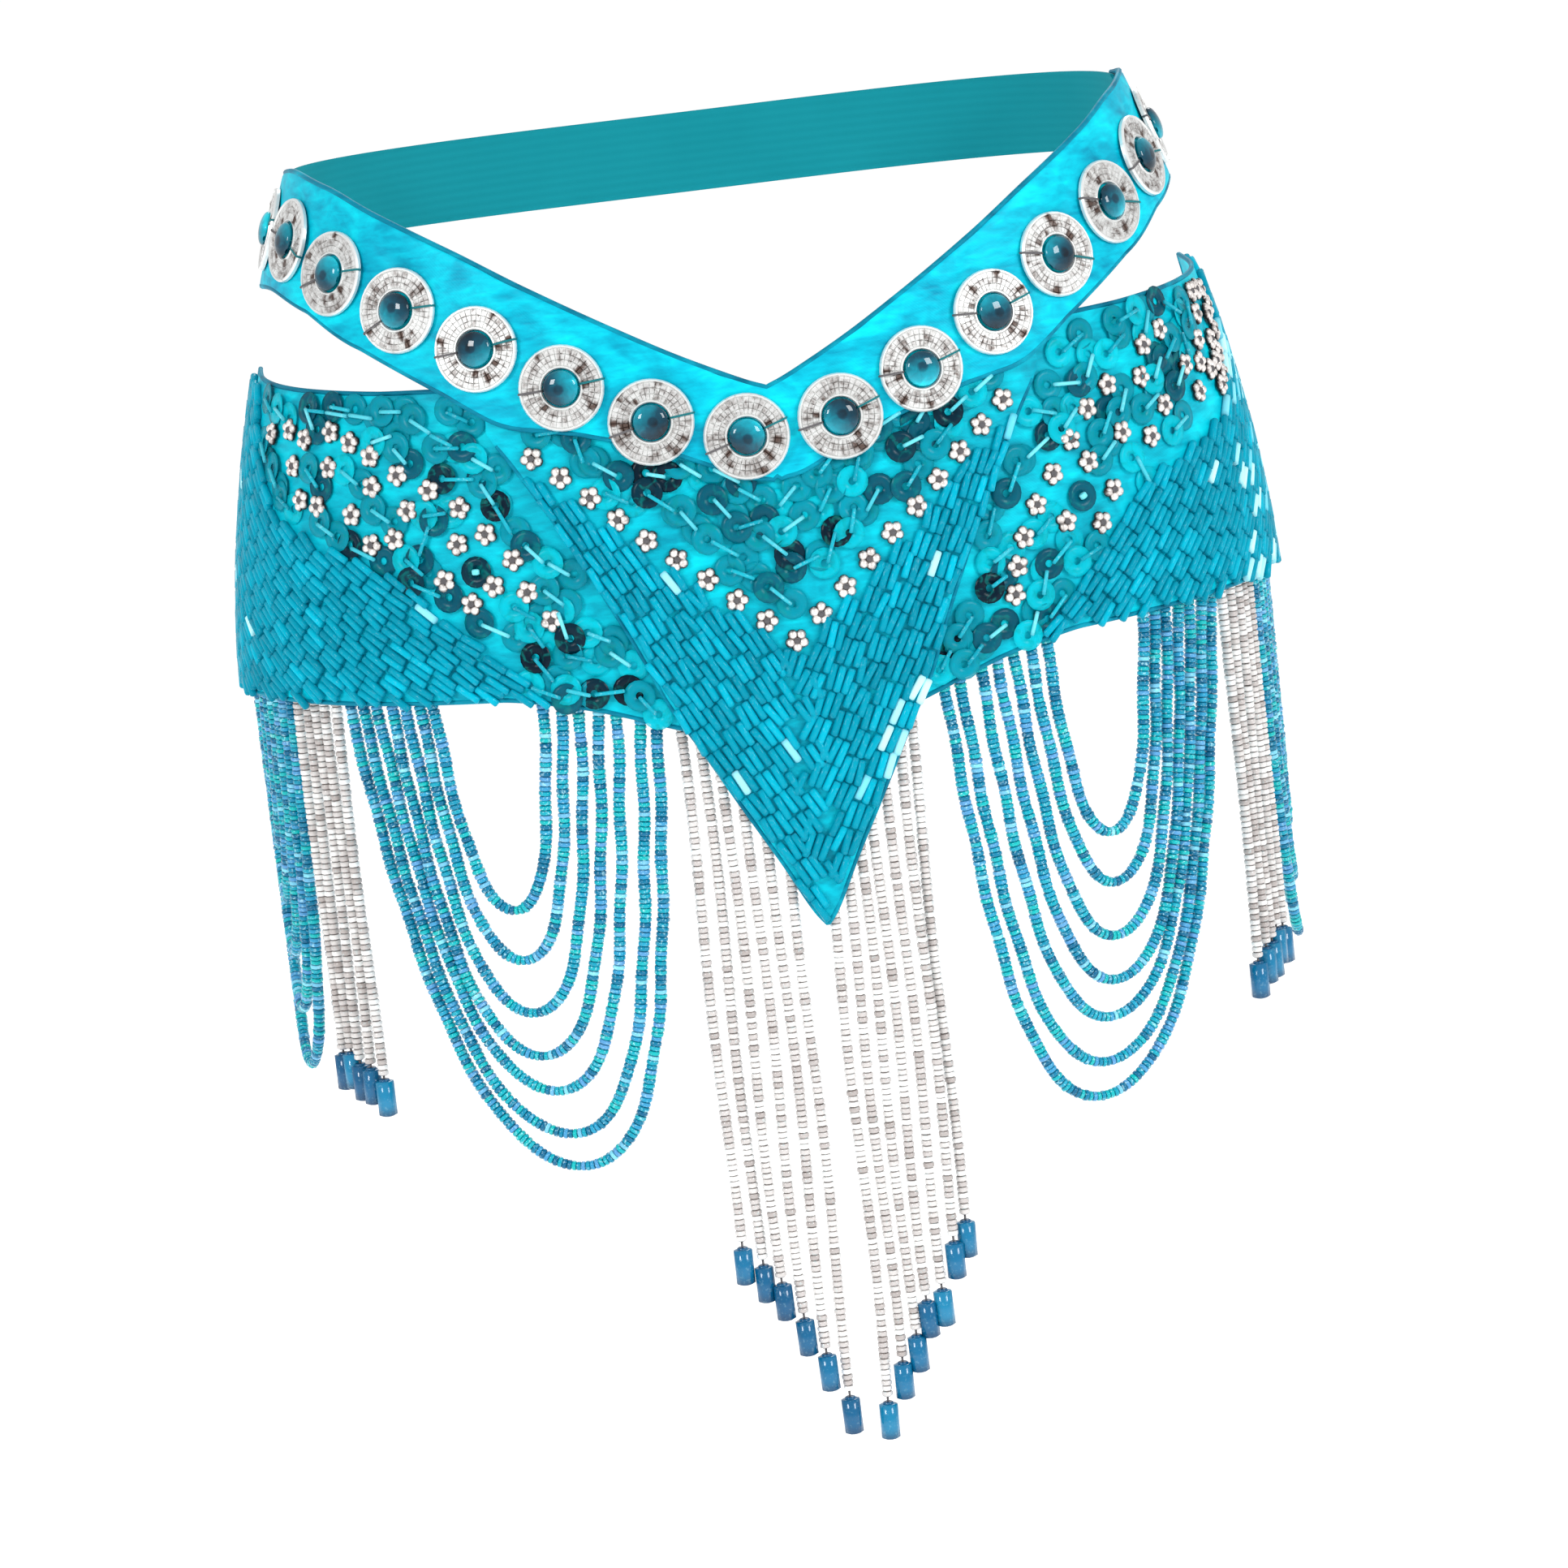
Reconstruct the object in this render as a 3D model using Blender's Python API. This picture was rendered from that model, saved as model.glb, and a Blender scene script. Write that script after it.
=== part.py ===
"""Belly dance hip belt: a coin-trimmed V band on an elastic back, a beaded point, two beaded hip wings,
swags of bead strands and two kinds of silver fringe, held in the round as it hangs on a hip.

Metres, +Z up. The front faces -Y; left and right are as seen from the front, so left is -X.
The origin is the middle of the waist opening, level with the band's top edge at the side seams.
A place on the cloth is given by its arc (the distance round the hip from the front middle, measured at
the band's level) and its height. Layers are told apart by how far out of the hip form they lie.
"""

import math
from collections import namedtuple

import bmesh
import bpy
from mathutils import Vector

MM = 0.001

# The hip form that the cloth lies on
WAIST_HALF_WIDTH = 0.152
HIP_HALF_WIDTH = 0.1965
WAIST_FRONT_DEPTH = 0.1095
HIP_FRONT_DEPTH = 0.130
WAIST_BACK_DEPTH = 0.105
HIP_BACK_DEPTH = 0.126
HIP_DROP = 0.200
FLARE_POWER = 1.7
FRONT_SQUARENESS = 2.2
BACK_SQUARENESS = 2.6
ARC_LEVEL = -0.060
ARC_STEPS = 720

# How far out of the hip form each layer starts, and its wall
WING_OUT = 0.0
WING_WALL = 0.0018
POINT_OUT = 0.0023
POINT_WALL = 0.0018
BAND_OUT = 0.0046
BAND_WALL = 0.0020
ELASTIC_OUT = 0.0027
ELASTIC_WALL = 0.0015
SEAM_GAP = 0.0003
HANG_GAP = 0.0007

# Waistband
BAND_HALF_ARC = 0.250
BAND_COLUMNS = 60
ELASTIC_HEIGHT = 0.032
ELASTIC_TOP = -0.003
ELASTIC_BACK_DIP = 0.004
ELASTIC_TUCK = 0.014
ELASTIC_COLUMNS = 48

# Panels
PANEL_TUCK = 0.013
POINT_HALF_ARC = 0.097
WING_END_TOP_ARC = 0.248
WING_END_HEM_ARC = 0.285
WING_TOP_NEAR = -0.0785
WING_TOP_FAR = -0.0755
WING_TOP_NEAR_ARC = 0.140
WING_UNDER_POINT = 0.0018
WING_ROWS = 8
WING_COLUMNS = 24
WING_UNDER_BAND = 0.015
POINT_CROWDING = 1.25

# Coins and their centre beads
COIN_COUNT = 15
COIN_PITCH = 0.0347
COIN_ROW_SHIFT = -0.0085
COIN_RADIUS = 0.0157
COIN_HOLE_RADIUS = 0.0070
COIN_THICKNESS = 0.0019
COIN_SIDES = 18
COIN_RIM = 0.0011
COIN_ROUNDING = 0.0009
COIN_BEAD_RADIUS = 0.0064
COIN_BEAD_HEIGHT = 0.0048
COIN_BEAD_SEAT = 0.0018

# Bead strands
BLUE_STRAND_RADIUS = 0.0020
SILVER_STRAND_RADIUS = 0.0018
DROP_RADIUS = 0.0036
DROP_LENGTH = 0.0125
DROP_CAP = 0.0010
DROP_POINT = 0.0020
BARE_THREAD = 0.0020
STRAND_SWAY = 0.0006
SWAY_RATE = 40.0
SWAY_SPREAD = 900.0
SWAG_CROWDING = 1.9
STRIP_WALL = 0.0014
STRIP_HEIGHT = 0.0065
STRIP_ABOVE_HEM = 0.0008
STRIP_STEP = 0.009
STRAND_ROOT = 0.0045
STRAND_SIDES = 4

EdgeRow = namedtuple("EdgeRow", "arc height")
WidthRow = namedtuple("WidthRow", "arc width")
DropRow = namedtuple("DropRow", "arc drop")
SwagRow = namedtuple("SwagRow", "near_arc far_arc low_arc lowest")
TipRow = namedtuple("TipRow", "arc tip")

# Top edge of the waistband: a V that runs out level towards the side seams
BAND_TOP = [
    EdgeRow(0.000, -0.0880),
    EdgeRow(0.005, -0.0860),
    EdgeRow(0.015, -0.0810),
    EdgeRow(0.030, -0.0730),
    EdgeRow(0.050, -0.0615),
    EdgeRow(0.080, -0.0445),
    EdgeRow(0.110, -0.0285),
    EdgeRow(0.145, -0.0140),
    EdgeRow(0.175, -0.0045),
    EdgeRow(0.211, 0.0000),
    EdgeRow(0.250, -0.0030),
]

# Width of the waistband, square to its top edge: narrow at the V, full along the sides
BAND_WIDTH = [
    WidthRow(0.000, 0.0320),
    WidthRow(0.030, 0.0320),
    WidthRow(0.060, 0.0375),
    WidthRow(0.095, 0.0470),
    WidthRow(0.150, 0.0450),
    WidthRow(0.205, 0.0425),
    WidthRow(0.250, 0.0420),
]

# How far the middles of the coins lie below the top edge
COIN_ROW = [
    DropRow(0.000, 0.0175),
    DropRow(0.025, 0.0255),
    DropRow(0.050, 0.0290),
    DropRow(0.090, 0.0295),
    DropRow(0.137, 0.0280),
    DropRow(0.167, 0.0265),
    DropRow(0.200, 0.0225),
    DropRow(0.240, 0.0210),
]

# Lower edge of the beaded point, from its tip up to where it goes under the band
POINT_EDGE = [
    EdgeRow(0.000, -0.2870),
    EdgeRow(0.003, -0.2825),
    EdgeRow(0.012, -0.2630),
    EdgeRow(0.023, -0.2405),
    EdgeRow(0.034, -0.2175),
    EdgeRow(0.043, -0.1995),
    EdgeRow(0.050, -0.1810),
    EdgeRow(0.060, -0.1585),
    EdgeRow(0.072, -0.1345),
    EdgeRow(0.085, -0.1125),
    EdgeRow(0.097, -0.0950),
]

# Hem of a hip wing, from beside the point round to its free end
WING_HEM = [
    EdgeRow(0.036, -0.2105),
    EdgeRow(0.047, -0.2063),
    EdgeRow(0.058, -0.2020),
    EdgeRow(0.070, -0.1980),
    EdgeRow(0.080, -0.1955),
    EdgeRow(0.100, -0.1925),
    EdgeRow(0.170, -0.1920),
    EdgeRow(0.285, -0.1945),
]

# Swags below each wing: arcs of the two ends of a loop and of its lowest bead, and that bead's height
FRONT_SWAGS = [
    SwagRow(0.0870, 0.1263, 0.1052, -0.2715),
    SwagRow(0.0809, 0.1312, 0.1050, -0.2905),
    SwagRow(0.0747, 0.1365, 0.1037, -0.3105),
    SwagRow(0.0687, 0.1422, 0.1025, -0.3270),
    SwagRow(0.0625, 0.1480, 0.0993, -0.3405),
    SwagRow(0.0549, 0.1540, 0.0963, -0.3570),
    SwagRow(0.0493, 0.1597, 0.0940, -0.3695),
]
SIDE_SWAGS = [
    SwagRow(0.2160, 0.2380, 0.2300, -0.2340),
    SwagRow(0.2108, 0.2454, 0.2290, -0.2550),
    SwagRow(0.2056, 0.2528, 0.2265, -0.2760),
    SwagRow(0.2004, 0.2602, 0.2240, -0.2970),
    SwagRow(0.1952, 0.2676, 0.2210, -0.3180),
    SwagRow(0.1900, 0.2750, 0.2180, -0.3390),
]

# Straight silver strands: arc of each, and the height of the lower end of its drop bead
CENTRE_FRINGE = [
    TipRow(-0.0420, -0.4190),
    TipRow(-0.0355, -0.4265),
    TipRow(-0.0292, -0.4335),
    TipRow(-0.0228, -0.4480),
    TipRow(-0.0164, -0.4625),
    TipRow(-0.0100, -0.4800),
    TipRow(0.0025, -0.4840),
    TipRow(0.0083, -0.4695),
    TipRow(0.0138, -0.4600),
    TipRow(0.0192, -0.4475),
    TipRow(0.0252, -0.4440),
    TipRow(0.0313, -0.4268),
    TipRow(0.0362, -0.4200),
]
SIDE_FRINGE = [
    TipRow(0.1652, -0.3500),
    TipRow(0.1702, -0.3460),
    TipRow(0.1752, -0.3450),
    TipRow(0.1802, -0.3410),
    TipRow(0.1852, -0.3420),
]
STRIP_END = 0.0020
CENTRE_STRIP_HEIGHT = 0.0080

# The centre strip lies close behind the point, and steps back behind a wing at each end
STEP_BACK_FROM = 0.0305
STEP_BACK_TO = 0.0360


def through_rows(rows, arc):
    """Value at an arc of a smooth curve through a table's rows, with no overshoot between them."""
    arcs, values = [row[0] for row in rows], [row[1] for row in rows]
    if arc <= arcs[0]:
        return values[0]
    if arc >= arcs[-1]:
        return values[-1]
    steps = [after - before for before, after in zip(arcs, arcs[1:])]
    slopes = [(after - before) / step for before, after, step in zip(values, values[1:], steps)]
    k = next(i for i, end in enumerate(arcs[1:]) if arc <= end)

    def tangent(i):
        if i in (0, len(slopes)):
            return slopes[min(i, len(slopes) - 1)]
        before, after = slopes[i - 1], slopes[i]
        return 2 * before * after / (before + after) if before * after > 0 else 0.0

    t = (arc - arcs[k]) / steps[k]
    return (
        values[k] * (2 * t**3 - 3 * t**2 + 1)
        + steps[k] * tangent(k) * (t**3 - 2 * t**2 + t)
        + values[k + 1] * (3 * t**2 - 2 * t**3)
        + steps[k] * tangent(k + 1) * (t**3 - t**2)
    )


def hip_outline(turn, height, out):
    """Plan position of the form at a turn from the front middle, 'out' beyond its surface."""
    drop = min(max(-height / HIP_DROP, 0.0), 1.0)
    flare = 1 - (1 - drop) ** FLARE_POWER
    half_width = WAIST_HALF_WIDTH + (HIP_HALF_WIDTH - WAIST_HALF_WIDTH) * flare + out
    if math.cos(turn) >= 0:
        depth = WAIST_FRONT_DEPTH + (HIP_FRONT_DEPTH - WAIST_FRONT_DEPTH) * flare + out
        power = FRONT_SQUARENESS
    else:
        depth = WAIST_BACK_DEPTH + (HIP_BACK_DEPTH - WAIST_BACK_DEPTH) * flare + out
        power = BACK_SQUARENESS
    across, along = abs(math.sin(turn) / half_width), abs(math.cos(turn) / depth)
    radius = (across**power + along**power) ** (-1 / power)
    return radius * math.sin(turn), -radius * math.cos(turn)


def measure_arcs():
    """Arc lengths from the front middle to the back middle, one for each equal step of turn."""
    arcs, last = [0.0], hip_outline(0.0, ARC_LEVEL, 0.0)
    for step in range(1, ARC_STEPS + 1):
        here = hip_outline(math.pi * step / ARC_STEPS, ARC_LEVEL, 0.0)
        arcs.append(arcs[-1] + math.dist(last, here))
        last = here
    return arcs


ARCS = measure_arcs()
HALF_ROUND = ARCS[-1]


def turn_at(arc):
    """Turn from the front middle at an arc, which may go past the back middle."""
    size = abs(arc)
    if size > HALF_ROUND:
        return math.copysign(2 * math.pi - abs(turn_at(2 * HALF_ROUND - size)), arc)
    low, high = 0, ARC_STEPS
    while high - low > 1:
        middle = (low + high) // 2
        if ARCS[middle] <= size:
            low = middle
        else:
            high = middle
    part = (size - ARCS[low]) / (ARCS[high] - ARCS[low])
    return math.copysign(math.pi * (low + part) / ARC_STEPS, arc)


def cloth_point(arc, height, out):
    x, y = hip_outline(turn_at(arc), height, out)
    return Vector((x, y, height))


def cloth_normal(arc, height, out):
    """Outward direction of the cloth, from its neighbours along the arc and up the height."""
    step = 1 * MM
    along = cloth_point(arc + step, height, out) - cloth_point(arc - step, height, out)
    upward = cloth_point(arc, height + step, out) - cloth_point(arc, height - step, out)
    return along.cross(upward).normalized()


def band_top(arc):
    return through_rows(BAND_TOP, abs(arc))


def band_depth(arc):
    """Height of the band at an arc: its width across, set upright where its edges slope."""
    step = 1 * MM
    slope = (band_top(abs(arc) + step) - band_top(max(abs(arc) - step, 0.0))) / (2 * step)
    return through_rows(BAND_WIDTH, abs(arc)) * math.sqrt(1 + slope**2)


def band_foot(arc):
    return band_top(arc) - band_depth(arc)


def point_edge(arc):
    return through_rows(POINT_EDGE, abs(arc))


def point_edge_arc(height):
    """Arc of the point's edge at a height, found by halving."""
    low, high = 0.0, POINT_HALF_ARC
    for _ in range(40):
        middle = (low + high) / 2
        if point_edge(middle) < height:
            low = middle
        else:
            high = middle
    return low


def wing_hem(arc):
    return through_rows(WING_HEM, abs(arc))


def wing_top(arc):
    """Top edge of a wing: level at the hip, then tucked under the band towards the middle."""
    ease = (arc - WING_TOP_NEAR_ARC) / (WING_END_TOP_ARC - WING_TOP_NEAR_ARC)
    level = WING_TOP_NEAR + (WING_TOP_FAR - WING_TOP_NEAR) * min(max(ease, 0.0), 1.0)
    return min(level, band_foot(arc) + PANEL_TUCK)


def make_material(name, colour, roughness, metallic=0.0):
    material = bpy.data.materials.new(name)
    material.use_nodes = True
    shader = material.node_tree.nodes["Principled BSDF"]
    shader.inputs["Base Color"].default_value = (*colour, 1.0)
    shader.inputs["Roughness"].default_value = roughness
    shader.inputs["Metallic"].default_value = metallic
    return material


def new_piece(name, mesh_builder, material):
    mesh = bpy.data.meshes.new(name)
    mesh_builder.to_mesh(mesh)
    mesh_builder.free()
    mesh.materials.append(material)
    piece = bpy.data.objects.new(name, mesh)
    bpy.context.scene.collection.objects.link(piece)
    mesh.shade_smooth()
    mesh.set_sharp_from_angle(angle=math.radians(40))
    return piece


def add_wall(builder, sheet, out_at, wall):
    """A closed wall from a sheet of (arc, height) rows: an inner face, an outer face and its four edges."""

    def corner(arc, height, beyond):
        return builder.verts.new(cloth_point(arc, height, out_at(arc) + beyond))

    def layer(beyond):
        return [[corner(arc, height, beyond) for arc, height in row] for row in sheet]

    inner, outer = layer(0.0), layer(wall)
    rows, columns = len(sheet), len(sheet[0])
    for i in range(rows - 1):
        for j in range(columns - 1):
            builder.faces.new((outer[i][j], outer[i + 1][j], outer[i + 1][j + 1], outer[i][j + 1]))
            builder.faces.new((inner[i][j], inner[i][j + 1], inner[i + 1][j + 1], inner[i + 1][j]))
    rim = [(0, j) for j in range(columns)] + [(i, columns - 1) for i in range(1, rows)]
    rim += [(rows - 1, j) for j in range(columns - 2, -1, -1)] + [(i, 0) for i in range(rows - 2, 0, -1)]
    for (i, j), (k, m) in zip(rim, rim[1:] + rim[:1]):
        builder.faces.new((inner[i][j], outer[i][j], outer[k][m], inner[k][m]))


def wall_piece(name, sheet, out_at, wall, material):
    builder = bmesh.new()
    add_wall(builder, sheet, out_at, wall)
    bmesh.ops.recalc_face_normals(builder, faces=builder.faces)
    return new_piece(name, builder, material)


def spread(start, end, count):
    return [start + (end - start) * i / (count - 1) for i in range(count)]


def sheet_between(arcs, top, bottom, rows):
    """Rows of (arc, height) from a top edge down to a bottom edge, with a column at each arc."""

    def height(arc, down):
        return top(arc) + (bottom(arc) - top(arc)) * down

    return [[(arc, height(arc, i / (rows - 1))) for arc in arcs] for i in range(rows)]


def make_front_band(material):
    arcs = spread(-BAND_HALF_ARC, BAND_HALF_ARC, BAND_COLUMNS + 1)
    sheet = sheet_between(arcs, band_top, band_foot, 4)
    return wall_piece("front_band", sheet, lambda arc: BAND_OUT, BAND_WALL, material)


def make_back_elastic(material):
    """Elastic strap round the back, whose ends are tucked behind the ends of the band."""
    start = BAND_HALF_ARC - ELASTIC_TUCK
    arcs = spread(start, 2 * HALF_ROUND - start, ELASTIC_COLUMNS + 1)

    def top(arc):
        return ELASTIC_TOP - ELASTIC_BACK_DIP * math.sin(math.pi * (arc - arcs[0]) / (arcs[-1] - arcs[0]))

    sheet = sheet_between(arcs, top, lambda arc: top(arc) - ELASTIC_HEIGHT, 3)
    return wall_piece("back_elastic", sheet, lambda arc: ELASTIC_OUT, ELASTIC_WALL, material)


def make_point_panel(material):
    """Beaded V panel; its top is tucked behind the band and its sides lie over the wings."""
    sides = [POINT_HALF_ARC * (k / 12) ** POINT_CROWDING for k in range(13)]
    arcs = [-arc for arc in reversed(sides[1:])] + sides
    sheet = sheet_between(arcs, lambda arc: band_foot(arc) + PANEL_TUCK, point_edge, 10)
    return wall_piece("point_panel", sheet, lambda arc: POINT_OUT, POINT_WALL, material)


def make_wing(name, side, material):
    """Hip wing: its inner edge runs behind the point, and its outer end hangs free past the hip."""
    rows, columns = WING_ROWS + 1, WING_COLUMNS + 1
    sheet = []
    for i in range(rows):
        up = 1 - i / (rows - 1)
        row = []
        for j in range(columns):
            across = j / (columns - 1)
            inner_top = POINT_HALF_ARC - WING_UNDER_BAND
            inner_height = wing_hem(0) + (wing_top(inner_top) - wing_hem(0)) * up
            tuck = WING_UNDER_POINT + (WING_UNDER_BAND - WING_UNDER_POINT) * up
            inner = point_edge_arc(inner_height) - tuck
            outer = WING_END_HEM_ARC + (WING_END_TOP_ARC - WING_END_HEM_ARC) * up
            arc = inner + (outer - inner) * across
            height = wing_hem(arc) + (wing_top(arc) - wing_hem(arc)) * up
            row.append((side * arc, height))
        sheet.append(row)
    return wall_piece(name, sheet, lambda arc: WING_OUT, WING_WALL, material)


def tube_rings(path, radii, sides):
    """Rings of points round a path, turned as little as they can be from one to the next."""
    rings, across = [], None
    for i, here in enumerate(path):
        ahead = (path[min(i + 1, len(path) - 1)] - path[max(i - 1, 0)]).normalized()
        if across is None:
            across = Vector((-here.y, here.x, 0.0))
        across = (across - ahead * across.dot(ahead)).normalized()
        other = ahead.cross(across)
        ring = []
        for k in range(sides):
            angle = 2 * math.pi * (k + 0.5) / sides
            ring.append(here + (across * math.cos(angle) + other * math.sin(angle)) * radii[i])
        rings.append(ring)
    return rings


def add_tube(builder, path, radii, sides=STRAND_SIDES):
    rings = [[builder.verts.new(p) for p in ring] for ring in tube_rings(path, radii, sides)]
    for ring, following in zip(rings, rings[1:]):
        for k in range(sides):
            m = (k + 1) % sides
            builder.faces.new((ring[k], ring[m], following[m], following[k]))
    builder.faces.new(list(reversed(rings[0])))
    builder.faces.new(rings[-1])


def fuse(strip, strands):
    """Joins the strands to the strip that they hang from, so that they are one body."""
    strands.hide_render = True
    strands.display_type = "WIRE"
    union = strip.modifiers.new("strands", "BOOLEAN")
    union.operation = "UNION"
    union.solver = "EXACT"
    union.object = strands


def silver_strand(builder, arc, root, tip, out):
    """A straight strand with a small sway, a bare stretch of thread and a long drop bead at its end."""
    drop_top = tip + DROP_LENGTH
    heights = spread(root, drop_top + BARE_THREAD, 5)
    heights += [drop_top, drop_top - DROP_CAP, tip + DROP_POINT, tip]
    radii = [SILVER_STRAND_RADIUS] * 5
    radii += [SILVER_STRAND_RADIUS / 2, DROP_RADIUS, DROP_RADIUS, DROP_RADIUS / 2]
    path = []
    for height in heights:
        drift = STRAND_SWAY * math.sin(SWAY_RATE * (root - height) + SWAY_SPREAD * arc)
        path.append(cloth_point(arc + drift, height, out))
    add_tube(builder, path, radii)


def chain_size(half, sag):
    """Scale of the hanging chain that spans twice 'half' and sags by 'sag', found by halving."""
    low, high = half / 30, 50 * half
    for _ in range(60):
        size = math.sqrt(low * high)
        if size * (math.cosh(half / size) - 1) > sag:
            low = size
        else:
            high = size
    return size


def swag_curve(row, hem, steps):
    """Arcs and heights of a hanging chain between two places on a hem, closest together at its foot."""
    middle, half = (row.near_arc + row.far_arc) / 2, (row.far_arc - row.near_arc) / 2
    near, far = hem(row.near_arc), hem(row.far_arc)
    size = chain_size(half, (near + far) / 2 - row.lowest)
    half_length = size * math.sinh(half / size)
    places = []
    for i in range(steps + 1):
        share = 2 * i / steps - 1
        offset = size * math.asinh(half_length * math.copysign(abs(share) ** SWAG_CROWDING, share) / size)
        across = offset / half
        lean = (row.low_arc - middle) * (1 - across**2)
        height = row.lowest + size * (math.cosh(offset / size) - 1) + (far - near) / 2 * across
        places.append((middle + offset + lean, height))
    return places


def hang(name, strip_sheet, strip_out, strands, material):
    strip = wall_piece(name, strip_sheet, strip_out, STRIP_WALL, material)
    bmesh.ops.recalc_face_normals(strands, faces=strands.faces)
    fuse(strip, new_piece(name + "_strands", strands, material))
    return strip


def hem_strip(side, start, end):
    """The narrow strip behind a wing's hem, between two arcs."""
    arcs = spread(start, end, round((end - start) / STRIP_STEP) + 1)
    feet = (STRIP_ABOVE_HEM + STRIP_HEIGHT, STRIP_ABOVE_HEM)
    return [[(side * arc, wing_hem(arc) + up) for arc in arcs] for up in feet]


def behind_wing(radius):
    """How far out the middle of a strand lies, hanging close behind a wing."""
    return WING_OUT - HANG_GAP - radius


def make_swags(name, side, rows, steps, material):
    strands = bmesh.new()
    out = behind_wing(BLUE_STRAND_RADIUS)
    for row in rows:
        places = swag_curve(row, lambda arc: wing_hem(arc) + STRAND_ROOT, steps)
        path = [cloth_point(side * arc, height, out) for arc, height in places]
        add_tube(strands, path, [BLUE_STRAND_RADIUS] * len(path))
    start = min(row.near_arc for row in rows) - STRIP_END
    end = max(row.far_arc for row in rows) + STRIP_END
    return hang(name, hem_strip(side, start, end), lambda arc: behind_wing(STRIP_WALL), strands, material)


def make_side_fringe(name, side, material):
    strands = bmesh.new()
    for row in SIDE_FRINGE:
        root = wing_hem(row.arc) + STRAND_ROOT
        silver_strand(strands, side * row.arc, root, row.tip, behind_wing(SILVER_STRAND_RADIUS))
    strip = hem_strip(side, SIDE_FRINGE[0].arc - STRIP_END, SIDE_FRINGE[-1].arc + STRIP_END)
    return hang(name, strip, lambda arc: behind_wing(STRIP_WALL), strands, material)


def centre_strip_out(arc):
    """Where the centre strip's inner face lies: behind the point, or behind a wing at its ends."""
    near, far = POINT_OUT - SEAM_GAP - STRIP_WALL, WING_OUT - HANG_GAP - STRIP_WALL
    part = (abs(arc) - STEP_BACK_FROM) / (STEP_BACK_TO - STEP_BACK_FROM)
    return near + (far - near) * min(max(part, 0.0), 1.0)


def make_centre_fringe(material):
    """Silver strands from a strip that follows the point's edge, behind it."""
    strands = bmesh.new()
    for row in CENTRE_FRINGE:
        out = centre_strip_out(row.arc) + STRIP_WALL - SILVER_STRAND_RADIUS
        silver_strand(strands, row.arc, point_edge(row.arc) + STRAND_ROOT, row.tip, out)
    start, end = CENTRE_FRINGE[0].arc - STRIP_END, CENTRE_FRINGE[-1].arc + STRIP_END
    left = [start, -STEP_BACK_TO, -STEP_BACK_FROM, -0.020, -0.010, -0.003]
    right = [0.003, 0.010, 0.020, STEP_BACK_FROM, STEP_BACK_TO, end]
    feet = (STRIP_ABOVE_HEM + CENTRE_STRIP_HEIGHT, STRIP_ABOVE_HEM)
    sheet = [[(arc, point_edge(arc) + up) for arc in (*left, 0.0, *right)] for up in feet]
    return hang("centre_fringe", sheet, centre_strip_out, strands, material)


def coin_seat(arc, height, radius, inner):
    """Place and outward direction of a flat ring or disc that just clears the band it is sewn to."""
    out = BAND_OUT + BAND_WALL
    middle = cloth_point(arc, height, out)
    normal = cloth_normal(arc, height, out)
    reach = -1.0
    for around in range(16):
        angle = 2 * math.pi * around / 16
        for distance in (inner, (inner + radius) / 2, radius):
            place = cloth_point(arc + distance * math.cos(angle), height + distance * math.sin(angle), out)
            reach = max(reach, (place - middle).dot(normal))
    return middle + normal * (reach + SEAM_GAP), normal


def coin_places():
    """Arc and height of each coin, at even steps along the row, either way from the one by the V."""

    def row_height(arc):
        return band_top(arc) - through_rows(COIN_ROW, abs(arc))

    places = [(COIN_ROW_SHIFT, row_height(COIN_ROW_SHIFT))]
    for way in (-1, 1):
        arc, walked = COIN_ROW_SHIFT, 0.0
        here = cloth_point(arc, row_height(arc), BAND_OUT + BAND_WALL)
        for number in range(1, COIN_COUNT // 2 + 1):
            while walked < number * COIN_PITCH:
                arc += way * MM / 4
                ahead = cloth_point(arc, row_height(arc), BAND_OUT + BAND_WALL)
                walked += (ahead - here).length
                here = ahead
            places.append((arc, row_height(arc)))
    return sorted(places)


def stand_on(piece, place, normal):
    piece.rotation_mode = "QUATERNION"
    piece.rotation_quaternion = normal.to_track_quat("Z", "Y")
    piece.location = place


def coin_mesh():
    """A ring turned from its profile: flat back, rounded rims."""
    builder = bmesh.new()
    profile = [
        (COIN_HOLE_RADIUS, 0.0),
        (COIN_HOLE_RADIUS, COIN_RIM),
        (COIN_HOLE_RADIUS + COIN_ROUNDING, COIN_THICKNESS),
        (COIN_RADIUS - COIN_ROUNDING, COIN_THICKNESS),
        (COIN_RADIUS, COIN_RIM),
        (COIN_RADIUS, 0.0),
    ]
    rings = []
    for k in range(COIN_SIDES):
        angle = 2 * math.pi * k / COIN_SIDES
        rings.append([builder.verts.new((r * math.cos(angle), r * math.sin(angle), z)) for r, z in profile])
    for k, ring in enumerate(rings):
        following = rings[(k + 1) % COIN_SIDES]
        for m in range(len(profile)):
            n = (m + 1) % len(profile)
            builder.faces.new((ring[m], following[m], following[n], ring[n]))
    bmesh.ops.recalc_face_normals(builder, faces=builder.faces)
    return builder


def bead_mesh():
    """A round bead, slightly flattened where it is sewn down."""
    builder = bmesh.new()
    bmesh.ops.create_uvsphere(builder, u_segments=8, v_segments=5, radius=COIN_BEAD_RADIUS)
    for vertex in builder.verts:
        vertex.co.z = (vertex.co.z / COIN_BEAD_RADIUS + 1) * COIN_BEAD_HEIGHT / 2
    return builder


def make_coins(silver, turquoise):
    for number, (arc, height) in enumerate(coin_places(), start=1):
        coin = new_piece(f"coin_{number:02d}", coin_mesh(), silver)
        stand_on(coin, *coin_seat(arc, height, COIN_RADIUS, COIN_HOLE_RADIUS))
        bead = new_piece(f"coin_bead_{number:02d}", bead_mesh(), turquoise)
        stand_on(bead, *coin_seat(arc, height, COIN_BEAD_SEAT, 0.0))


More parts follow.
